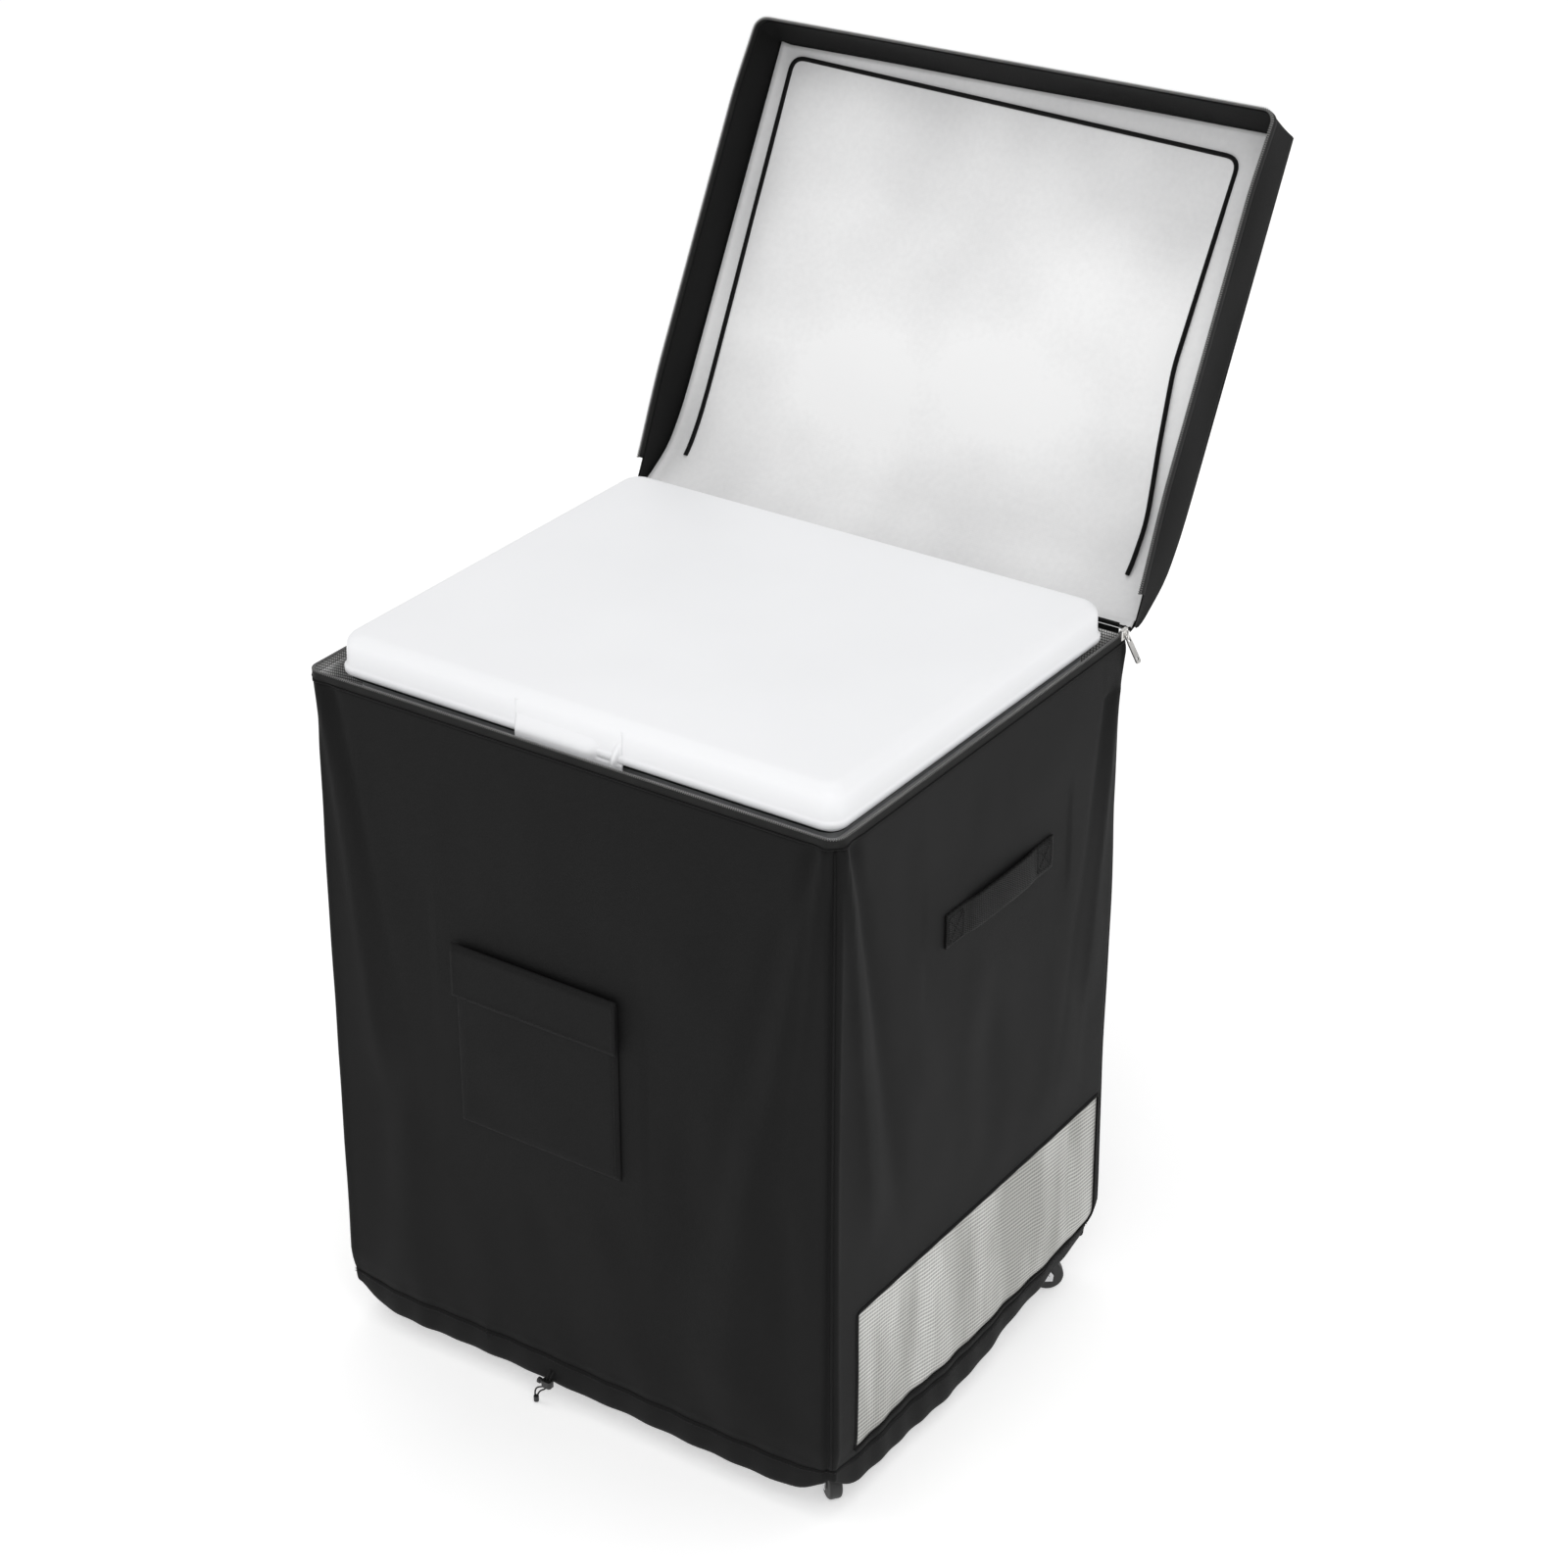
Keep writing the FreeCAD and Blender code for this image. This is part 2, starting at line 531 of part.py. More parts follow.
def make_cabinet():
    top = CABINET_TOP_Z - TRIM_HEIGHT
    outer = slab(CABINET_LEFT, CABINET_RIGHT, CABINET_FRONT_Y, CABINET_BACK_Y, BODY_Z, top, CABINET_RADIUS)
    inside = slab(CABINET_LEFT + SHEET, CABINET_RIGHT - SHEET, CABINET_FRONT_Y + SHEET, CABINET_BACK_Y - SHEET,
                  BODY_Z, top, CABINET_RADIUS - SHEET)
    shell = outer.cut(inside).cut(grille_window()).cut(panel_window()).cut(gland_hole())
    shell = shell.cut(rod(DRAIN_RADIUS, (DRAIN_X, CABINET_FRONT_Y - 3.0, DRAIN_Z),
                          (DRAIN_X, CABINET_FRONT_Y + 3.0, DRAIN_Z)))
    plan = (CABINET_LEFT, CABINET_RIGHT, CABINET_FRONT_Y, CABINET_BACK_Y)
    add("cabinet_shell", *by_side(shell, BODY_Z, top, plan).values())
    tub_outer = slab(TUB_LEFT, TUB_RIGHT, TUB_FRONT, TUB_BACK, TUB_FLOOR_Z, top, TUB_RADIUS)
    step = block(STEP_LEFT, TUB_RIGHT, TUB_FRONT, TUB_BACK, TUB_FLOOR_Z, STEP_TOP_Z)
    tub_solid = tub_outer.cut(step)
    tub_inner = slab(TUB_LEFT + LINER, TUB_RIGHT - LINER, TUB_FRONT + LINER, TUB_BACK - LINER,
                     TUB_FLOOR_Z + LINER, top, TUB_RADIUS - LINER)
    step_skin = block(STEP_LEFT - LINER, TUB_RIGHT, TUB_FRONT, TUB_BACK, TUB_FLOOR_Z, STEP_TOP_Z + LINER)
    ledges = [block(TUB_LEFT + 30.0, TUB_RIGHT - 30.0, y, y + LEDGE_WIDTH, LEDGE_Z - LEDGE_HEIGHT, LEDGE_Z)
              for y in (TUB_FRONT + LINER, TUB_BACK - LINER - LEDGE_WIDTH)]
    drain_mouth = rod(DRAIN_BORE, (DRAIN_X, DRAIN_INNER_Y, TUB_FLOOR_Z - 1.0),
                      (DRAIN_X, DRAIN_INNER_Y, TUB_FLOOR_Z + 5.0))
    liner = tub_solid.cut(tub_inner.cut(step_skin)).fuse(ledges).cut(drain_mouth)
    add("tub_liner", liner.removeSplitter())
    engine_left = STEP_LEFT + CABINET_WALL
    engine_room = block(engine_left, CABINET_RIGHT, CABINET_FRONT_Y, CABINET_BACK_Y,
                        BODY_Z, STEP_TOP_Z - CABINET_WALL)
    add("cabinet_foam", inside.cut(tub_solid).cut(engine_room).cut(drain_path(DRAIN_RADIUS + 1.0, 0.0)))
    make_trim(top)
    make_base()
    make_engine(engine_left)
    make_front_panel()
    make_drain()


def grille_window():
    return block(CABINET_RIGHT - SHEET, CABINET_RIGHT, GRILLE_FRONT_Y, GRILLE_BACK_Y,
                 BODY_Z + GRILLE_LOW, BODY_Z + GRILLE_HIGH)


def panel_window():
    return block(PANEL_LEFT, PANEL_RIGHT, CABINET_FRONT_Y, CABINET_FRONT_Y + SHEET, PANEL_LOW_Z, PANEL_HIGH_Z)


def gland_hole():
    start = (GLAND_X, CABINET_BACK_Y - 3.0, GLAND_Z)
    return rod(GLAND_RADIUS, start, (GLAND_X, CABINET_BACK_Y + 3.0, GLAND_Z))


def make_trim(top):
    outer = slab(CABINET_LEFT, CABINET_RIGHT, CABINET_FRONT_Y, CABINET_BACK_Y, top, CABINET_TOP_Z, CABINET_RADIUS)
    mouth = slab(TUB_LEFT + LINER, TUB_RIGHT - LINER, TUB_FRONT + LINER, TUB_BACK - LINER, top, CABINET_TOP_Z,
                 TUB_RADIUS - LINER)
    add("top_trim", outer.cut(mouth))


def make_base():
    pan = slab(CABINET_LEFT, CABINET_RIGHT, CABINET_FRONT_Y, CABINET_BACK_Y, BASE_Z, BODY_Z, CABINET_RADIUS)
    recess = slab(CABINET_LEFT + 4.0, CABINET_RIGHT - 4.0, CABINET_FRONT_Y + 4.0, CABINET_BACK_Y - 4.0,
                  BASE_Z + BASE_SHEET, BODY_Z, CABINET_RADIUS - 4.0)
    add("base_pan", pan.cut(recess))


def make_engine(engine_left):
    x = (engine_left + CABINET_RIGHT) / 2.0 - 2.0
    y = COMPRESSOR_Y
    low = BODY_Z + COMPRESSOR_LIFT
    half = COMPRESSOR_HALF_HEIGHT
    lower = Part.makeCylinder(COMPRESSOR_RADIUS, half, V(x, y, low))
    dome = Part.makeCylinder(COMPRESSOR_RADIUS, half, V(x, y, low + half))
    dome = dome.makeFillet(COMPRESSOR_RADIUS / 2.0, [e for e in dome.Edges
                                                     if min(v.Z for v in e.Vertexes) > low + 2.0 * half - 1.0
                                                     and e.Curve.TypeId == "Part::GeomCircle"])
    weld = Part.makeCylinder(COMPRESSOR_RADIUS + 3.0, WELD_HEIGHT, V(x, y, low + half - WELD_HEIGHT))
    terminal = block(x - TERMINAL_HALF, x + TERMINAL_HALF, y - 70.0, y - 40.0, low + 24.0, low + 64.0)
    add("compressor", lower.fuse([dome, weld, terminal]).removeSplitter())
    floor = BASE_Z + BASE_SHEET
    feet = [Part.makeCylinder(FOOT_RADIUS, low - floor, V(x + a, y + b, floor))
            for a in (-FOOT_OFFSET, FOOT_OFFSET) for b in (-FOOT_OFFSET, FOOT_OFFSET)]
    add("compressor_mounts", *feet)
    bezel = block(CABINET_RIGHT, CABINET_RIGHT + 1.5, GRILLE_FRONT_Y - 8.0, GRILLE_BACK_Y + 8.0,
                  BODY_Z + GRILLE_LOW - 8.0, BODY_Z + GRILLE_HIGH + 8.0)
    slots = [block(CABINET_RIGHT - 9.0, CABINET_RIGHT + 9.0, GRILLE_FRONT_Y + 10.0, GRILLE_BACK_Y - 10.0,
                   z, z + GRILLE_SLOT)
             for z in (BODY_Z + GRILLE_LOW + 6.0 + 2.0 * GRILLE_SLOT * i for i in range(10))]
    add("compressor_grille", bezel.fuse(grille_window()).cut(Part.makeCompound(slots)).removeSplitter())


def make_front_panel():
    y = CABINET_FRONT_Y
    face = slab_front(PANEL_LEFT - 5.0, PANEL_RIGHT + 5.0, y - 2.5, y, PANEL_LOW_Z - 5.0, PANEL_HIGH_Z + 5.0)
    face = face.fuse(panel_window()).removeSplitter()
    x = PANEL_LEFT + 44.0
    z = (PANEL_LOW_Z + PANEL_HIGH_Z) / 2.0
    lamps = [PANEL_RIGHT - 34.0 + LAMP_SPACING * i for i in range(2)]
    for lamp_x in lamps:
        face = face.cut(rod(LAMP_RADIUS + 0.1, (lamp_x, y - 6.0, z), (lamp_x, y + 6.0, z)))
    add("control_panel", face.cut(rod(4.0, (x, y - 6.0, z), (x, y + 6.0, z))))
    add("indicator_lamps", *[rod(LAMP_RADIUS, (lamp_x, y - 3.6, z), (lamp_x, y + SHEET, z)) for lamp_x in lamps])
    dial = rod(KNOB_RADIUS, (x, y - 3.0 - KNOB_HEIGHT, z), (x, y - 3.0, z))
    rib = block(x - KNOB_RIB, x + KNOB_RIB, y - 19.0, y - 15.0, z - 13.0, z + 13.0)
    shaft = rod(3.5, (x, y - 4.0, z), (x, y + SHEET + 2.0, z))
    add("thermostat_knob", dial.fuse([rib, shaft]).removeSplitter())
    housing_y = y + SHEET + 2.4
    add("thermostat", block(x - 20.0, x + 20.0, housing_y, housing_y + 30.0, z - 16.0, z + 16.0))
    back = CABINET_BACK_Y
    gland = rod(13.0, (GLAND_X, back, GLAND_Z), (GLAND_X, back + 3.0, GLAND_Z))
    gland = gland.fuse([rod(GLAND_RADIUS - 0.1, (GLAND_X, back - 5.0, GLAND_Z), (GLAND_X, back, GLAND_Z)),
                        rod(8.0, (GLAND_X, back + 3.0, GLAND_Z), (GLAND_X, back + 12.0, GLAND_Z))])
    bore = rod(3.6, (GLAND_X, back - 6.0, GLAND_Z), (GLAND_X, back + 13.0, GLAND_Z))
    add("power_inlet_gland", gland.cut(bore).removeSplitter())


def slab_front(x0, x1, y0, y1, z0, z1):
    """A thin plate facing the front, its four outline corners rounded."""
    body = block(x0, x1, y0, y1, z0, z1)
    across = [e for e in body.Edges if abs(e.Vertexes[0].Y - e.Vertexes[-1].Y) > 1e-6]
    return body.makeFillet(6.0, across)


def drain_path(radius, start):
    """A level run from the cabinet's front to below the tub, then a rise to the tub's floor."""
    level = rod(radius, (DRAIN_X, CABINET_FRONT_Y - start, DRAIN_Z), (DRAIN_X, DRAIN_INNER_Y, DRAIN_Z))
    rise = rod(radius, (DRAIN_X, DRAIN_INNER_Y, DRAIN_Z), (DRAIN_X, DRAIN_INNER_Y, TUB_FLOOR_Z))
    return level.fuse([rise, Part.makeSphere(radius, V(DRAIN_X, DRAIN_INNER_Y, DRAIN_Z))])


def make_drain():
    y = CABINET_FRONT_Y
    flange = rod(15.0, (DRAIN_X, y - 2.5, DRAIN_Z), (DRAIN_X, y, DRAIN_Z))
    tube = drain_path(DRAIN_RADIUS, DRAIN_SPOUT_LENGTH).fuse(flange)
    add("drain_spout", tube.cut(drain_path(DRAIN_BORE, DRAIN_SPOUT_LENGTH)).removeSplitter())
    end = y - DRAIN_SPOUT_LENGTH
    stopper = rod(DRAIN_BORE - 0.1, (DRAIN_X, end - 1.0, DRAIN_Z), (DRAIN_X, end + 12.0, DRAIN_Z))
    head = rod(DRAIN_RADIUS - 0.4, (DRAIN_X, end - 3.3, DRAIN_Z), (DRAIN_X, end - 0.3, DRAIN_Z))
    add("drain_plug", stopper.fuse(head).removeSplitter())


# ---------------------------------------------------------------- freezer lid

def make_lid():
    left = CABINET_X - LID_WIDTH / 2.0
    right = CABINET_X + LID_WIDTH / 2.0
    outer = slab(left, right, LID_FRONT_Y, LID_BACK_Y, LID_LOW_Z, LID_HIGH_Z, LID_RADIUS)
    outer = rounded_top(outer, LID_HIGH_Z, 12.0)
    inner = slab(left + LID_SKIN, right - LID_SKIN, LID_FRONT_Y + LID_SKIN, LID_BACK_Y - LID_SKIN,
                 LID_LOW_Z, LID_HIGH_Z - LID_SKIN, LID_RADIUS - LID_SKIN)
    inner = rounded_top(inner, LID_HIGH_Z - LID_SKIN, 12.0 - LID_SKIN)
    reach = HINGE_WIDTH / 2.0 + 1.0
    rooms = Part.makeCompound([block(x - reach, x + reach, LID_AXIS_Y - HINGE_ROOM, LID_BACK_Y + 1.0,
                                     LID_LOW_Z - 1.0, LID_AXIS_Z + HINGE_ROOM) for x in HINGE_X])
    add("lid_shell", outer.cut(inner).cut(rooms))
    liner_top = LID_LOW_Z + LINER
    plate = slab(left + LID_SKIN, right - LID_SKIN, LID_FRONT_Y + LID_SKIN, LID_BACK_Y - LID_SKIN,
                 LID_LOW_Z, liner_top, LID_RADIUS - LID_SKIN)
    bulge = slab(TUB_LEFT + 16.0, TUB_RIGHT - 16.0, TUB_FRONT + 16.0, TUB_BACK - 16.0,
                 LID_LOW_Z - 18.0, LID_LOW_Z, TUB_RADIUS)
    bulge_room = slab(TUB_LEFT + 18.0, TUB_RIGHT - 18.0, TUB_FRONT + 18.0, TUB_BACK - 18.0,
                      LID_LOW_Z - 16.0, liner_top, TUB_RADIUS - 2.0)
    add("lid_liner", plate.fuse(bulge).cut(bulge_room).cut(rooms).removeSplitter())
    foam = inner.cut(plate).fuse(bulge_room).cut(rooms)
    add("lid_foam", foam.removeSplitter())
    make_gasket()
    make_grip()
    make_hinges()


def make_gasket():
    reach = 10.0
    outer = slab(TUB_LEFT - reach - GASKET_WIDTH, TUB_RIGHT + reach + GASKET_WIDTH,
                 TUB_FRONT - reach - GASKET_WIDTH, TUB_BACK + reach + GASKET_WIDTH,
                 CABINET_TOP_Z + 0.3, LID_LOW_Z, TUB_RADIUS + reach)
    hole = slab(TUB_LEFT - reach, TUB_RIGHT + reach, TUB_FRONT - reach, TUB_BACK + reach,
                CABINET_TOP_Z + 0.3, LID_LOW_Z, TUB_RADIUS)
    add("lid_gasket", outer.cut(hole))


def make_grip():
    face = LID_FRONT_Y
    profile = [(face, GRIP_HIGH_Z), (face - 6.0, GRIP_HIGH_Z - 12.0), (face - 6.0, GRIP_LOW_Z + 3.0),
               (face - 3.5, GRIP_LOW_Z), (face - 1.0, GRIP_LOW_Z + 3.0), (face - 1.0, LID_LOW_Z), (face, LID_LOW_Z)]
    add("lid_grip", prism(profile, "x", GRIP_LEFT_X, GRIP_RIGHT_X - GRIP_LEFT_X))


def make_hinges():
    """Two hinges behind the cabinet: forked base on the back wall, knuckle on the lid, pin in the base."""
    bases = []
    arms = []
    pins = []
    half = HINGE_WIDTH / 2.0
    y = LID_AXIS_Y
    z = LID_AXIS_Z
    for x in HINGE_X:
        pins.append(rod(HINGE_PIN_RADIUS, (x - half, y, z), (x + half, y, z)))
        leaf = block(x - half, x + half, CABINET_BACK_Y, CABINET_BACK_Y + 3.0, z - 82.0, z - 20.0)
        spans = ((x - half, x - half + EAR_WIDTH), (x + half - EAR_WIDTH, x + half))
        ears = [block(a, b, CABINET_BACK_Y, y, z - 30.0, z - EAR_DROP) for a, b in spans]
        eyes = [rod(KNUCKLE_RADIUS, (a, y, z), (b, y, z)) for a, b in spans]
        base = leaf.fuse(ears + eyes).cut(rod(HINGE_PIN_RADIUS, (x - half, y, z), (x + half, y, z)))
        bases.append(base.removeSplitter())
        middle = half - EAR_WIDTH - 0.3
        knuckle = rod(KNUCKLE_RADIUS, (x - middle, y, z), (x + middle, y, z))
        arm = block(x - middle, x + middle, y - HINGE_ROOM, y, z - 2.0, z + 3.0)
        hole = rod(HINGE_PIN_RADIUS + RUNNING_CLEARANCE, (x - half, y, z), (x + half, y, z))
        arms.append(knuckle.fuse(arm).cut(hole).removeSplitter())
    add("lid_hinge_bases", *bases)
    add("lid_hinge_arms", *arms)
    add("lid_hinge_pins", *pins)


# ---------------------------------------------------------------- basket

def wire_ring(left, right, front, back, z):
    wide = 2.0 * BASKET_WIRE
    outer = slab(left, right, front, back, z - BASKET_WIRE, z + BASKET_WIRE, 14.0)
    return outer.cut(slab(left + wide, right - wide, front + wide, back - wide,
                          z - BASKET_WIRE, z + BASKET_WIRE, 14.0 - wide))


def make_basket():
    """Wire basket whose outer long bars lie on the liner's ledges, so that it slides along X."""
    wire = BASKET_WIRE
    top = LEDGE_Z + CLEAR + wire
    low = top - BASKET_DEPTH
    left = TUB_LEFT + LINER + 18.0
    right = left + BASKET_WIDTH
    front = TUB_FRONT + LINER + LEDGE_WIDTH + 4.0
    back = TUB_BACK - LINER - LEDGE_WIDTH - 4.0
    bars = [wire_ring(left, right, front, back, z) for z in (top, (top + low) / 2.0, low)]
    rows = 10
    for i in range(1, rows):
        y = front + (back - front) * i / rows
        for x in (left + wire, right - wire):
            bars.append(rod(THIN_WIRE, (x, y, top), (x, y, low)))
        bars.append(rod(THIN_WIRE - 0.1, (left + wire, y, low), (right - wire, y, low)))
    columns = 5
    outer_bars = (TUB_FRONT + LINER + 3.6, TUB_BACK - LINER - 3.6)
    for i in range(1, columns):
        x = left + BASKET_WIDTH * i / columns
        for y, outer_y in zip((front + wire, back - wire), outer_bars):
            bars.append(rod(THIN_WIRE, (x, y, top), (x, y, low)))
            bars.append(rod(THIN_WIRE - 0.1, (x, y, top), (x, outer_y, top)))
    for y in outer_bars:
        bars.append(rod(wire, (left, y, top), (right, y, top)))
    add("storage_basket", bars[0].fuse(bars[1:]).removeSplitter())


# ---------------------------------------------------------------- casters

def make_caster(name, x, y):
    """A ball-cheeked fork with its kingpin and riveted axle, and the wheel that turns on it."""
    heading = math.radians(CASTER_TRAIL_DEG[name])
    way = V(math.cos(heading), math.sin(heading), 0)
    side = V(-way.y, way.x, 0)
    hub = V(x, y, WHEEL_RADIUS) + way * CASTER_TRAIL
    tyre = Part.makeCylinder(WHEEL_RADIUS, WHEEL_WIDTH, hub - side * (WHEEL_WIDTH / 2.0), side)
    tyre = tyre.makeFillet(3.0, [e for e in tyre.Edges if e.Curve.TypeId == "Part::GeomCircle"])
    bore = Part.makeCylinder(AXLE_RADIUS + RUNNING_CLEARANCE, WHEEL_WIDTH + 2.0,
                             hub - side * (WHEEL_WIDTH / 2.0 + 1.0), side)
    add("caster_wheel_" + name, tyre.cut(bore))
    inner = WHEEL_WIDTH / 2.0 + 1.0
    outer = inner + FORK_CHEEK
    axle = Part.makeCylinder(AXLE_RADIUS, 2.0 * outer + 2.0, hub - side * (outer + 1.0), side)
    disc = Part.makeCylinder(RACE_RADIUS, 3.0, V(x, y, FORK_TOP_Z - 3.0))
    kingpin = Part.makeCylinder(KINGPIN_RADIUS, 6.0, V(x, y, FORK_TOP_Z - 1.0))
    crown = V(x, y, FORK_TOP_Z)
    outline = [crown - way * 9.0, crown + way * 12.0, hub + way * 6.0 + V(0, 0, 3.0),
               hub + way * 5.0 - V(0, 0, 5.0), hub - way * 5.0 - V(0, 0, 5.0), crown - way * 9.0 - V(0, 0, 9.0)]
    cheeks = []
    for sign in (-1.0, 1.0):
        corners = [p + side * (sign * inner) for p in outline]
        cheek = Part.Face(Part.makePolygon(corners + corners[:1])).extrude(side * (sign * FORK_CHEEK))
        if cheek.Volume < 0:
            cheek.reverse()
        cheeks.append(cheek)
    add("caster_fork_" + name, disc.fuse([kingpin, axle] + cheeks).removeSplitter())


def make_casters():
    plates = []
    for name in CASTER_TRAIL_DEG:
        x = CABINET_X + (CASTER_X if name.endswith("right") else -CASTER_X)
        y = CASTER_FRONT_Y if name.startswith("front") else CASTER_BACK_Y
        make_caster(name, x, y)
        half = PLATE_SIZE / 2.0
        plate = slab(x - half, x + half, y - half, y + half, BASE_Z - PLATE_THICKNESS, BASE_Z, 5.0)
        race_z = FORK_TOP_Z + 0.3
        race = Part.makeCylinder(RACE_RADIUS, BASE_Z - PLATE_THICKNESS - race_z, V(x, y, race_z))
        bore = Part.makeCylinder(KINGPIN_RADIUS + RUNNING_CLEARANCE, 5.6, V(x, y, race_z))
        plates.append(plate.fuse(race).cut(bore).removeSplitter())
    add("caster_plates", *plates)


def main():
    os.makedirs("parts", exist_ok=True)
    make_skirt()
    make_hem()
    make_skirt_zip()
    make_flap()
    make_sliders()
    make_pocket()
    make_straps()
    make_drawcord()
    make_cabinet()
    make_lid()
    make_basket()
    make_casters()
    for name, shape in parts.items():
        shape.exportStep("parts/" + name + ".step")
        for solid in shape.Solids:
            if not solid.isValid() or solid.Volume <= 0:
                print("bad solid in", name)
        print(name, "solids", len(shape.Solids), "volume_cm3", round(shape.Volume / 1000.0, 1))


main()
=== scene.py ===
import json
import math

import bpy
import numpy as np
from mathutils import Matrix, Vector, noise


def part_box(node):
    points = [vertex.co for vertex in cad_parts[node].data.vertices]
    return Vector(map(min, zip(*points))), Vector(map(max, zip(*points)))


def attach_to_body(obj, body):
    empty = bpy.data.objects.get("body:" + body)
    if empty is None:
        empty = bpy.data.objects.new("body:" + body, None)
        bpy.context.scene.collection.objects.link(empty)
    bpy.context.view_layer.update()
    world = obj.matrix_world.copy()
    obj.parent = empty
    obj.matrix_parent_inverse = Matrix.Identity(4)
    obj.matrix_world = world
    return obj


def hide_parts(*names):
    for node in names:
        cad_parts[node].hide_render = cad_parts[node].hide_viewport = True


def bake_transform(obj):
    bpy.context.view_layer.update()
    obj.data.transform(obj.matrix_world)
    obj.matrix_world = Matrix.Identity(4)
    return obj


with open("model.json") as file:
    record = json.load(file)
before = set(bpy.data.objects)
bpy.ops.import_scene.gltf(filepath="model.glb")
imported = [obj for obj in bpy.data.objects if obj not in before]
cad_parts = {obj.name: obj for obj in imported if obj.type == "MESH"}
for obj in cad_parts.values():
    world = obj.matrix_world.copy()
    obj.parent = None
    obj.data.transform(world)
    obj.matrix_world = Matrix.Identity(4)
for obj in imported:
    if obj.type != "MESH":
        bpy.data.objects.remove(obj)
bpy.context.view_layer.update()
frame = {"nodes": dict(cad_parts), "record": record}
NODES = frame["nodes"]

# ---------------------------------------------------------------- sizes read from the frame
SKIRT_LOW, SKIRT_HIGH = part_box("skirt_front")
HALF_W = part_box("skirt_right")[1].x
HALF_D = -SKIRT_LOW.y
HEM_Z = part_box("hem_casing")[0].z
HEM_TOP = SKIRT_LOW.z
TAPE_Z = SKIRT_HIGH.z
ZIP_GAP = 0.001
RIM_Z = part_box("skirt_zip_tape")[1].z + ZIP_GAP / 2
CORNER_R = 0.014              # plan radius of the cover's corners
VENT_LOW, VENT_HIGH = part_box("vent_mesh")
POCKET_LOW, POCKET_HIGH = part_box("pocket_body")
FLAP_TURN = math.radians(118.5)
FLAP_DEPTH = 0.065            # height of the flap's walls with their zip
FLAP_HEEL = 0.026             # wall height left at the hinge
FLAP_RISE = 0.070             # run of the slope from the heel up to the roof
ROOF_FRONT = -HALF_D + 0.014  # front edge of the roof, behind the foot of its wall
END_SHORT = 0.005             # how far the open flap's free end is drawn in, and narrowed
END_NARROW = 0.002
FLAP_PAINTED_HIGHLIGHT_Z = 0.955          # height of the painted highlight band on the lining
POCKET_MIDDLE_Z = 0.438       # the cloth lies calm round the pocket and the straps
STRAP_MIDDLE = (0.023, 0.613)
CLOTH_STEP = 0.0062           # rows of the skirt's grid
COLUMN_STEP = 0.0052          # and its columns
EDGE = 1e-6                   # tolerance for a column or row on a vent's edge
TOOTH = (0.0038, 0.0015, 0.0017)
TOOTH_PITCH = 0.0024
WELT_STEP = 0.004
CORD_A = [(-.0370, -.2730, .0443), (-.0374, -.2766, .0405), (-.0388, -.2799, .0356), (-.0402, -.2801, .0286),
          (-.0442, -.2802, .0224), (-.0500, -.2806, .0186), (-.0536, -.2809, .0132), (-.0546, -.2812, .0092)]
CORD_B = [(-.0420, -.2730, .0443), (-.0421, -.2766, .0405), (-.0419, -.2799, .0356), (-.0429, -.2801, .0264),
          (-.0494, -.2803, .0236), (-.0552, -.2806, .0204), (-.0579, -.2809, .0146), (-.0574, -.2812, .0092)]
CORD_DIAMETER = 0.0018


# ---------------------------------------------------------------- camera
def make_camera():
    azimuth = math.radians(34.19)
    elevation = math.radians(28.35)
    look = Vector((-math.sin(azimuth) * math.cos(elevation), math.cos(azimuth) * math.cos(elevation),
                   -math.sin(elevation)))
    right = Vector((math.cos(azimuth), math.sin(azimuth), 0.0))
    up = right.cross(look)
    data = bpy.data.cameras.new("camera")
    data.sensor_width = 36.0
    data.lens = 81.8
    camera = bpy.data.objects.new("camera", data)
    camera.location = Vector((0.0, 0.0, 0.5)) + right * 0.062 + up * 0.130 - look * 3.774
    camera.rotation_euler = look.to_track_quat("-Z", "Y").to_euler()
    bpy.context.scene.collection.objects.link(camera)
    bpy.context.scene.camera = camera


# ---------------------------------------------------------------- materials
def grey(value):
    return (value, value, value)


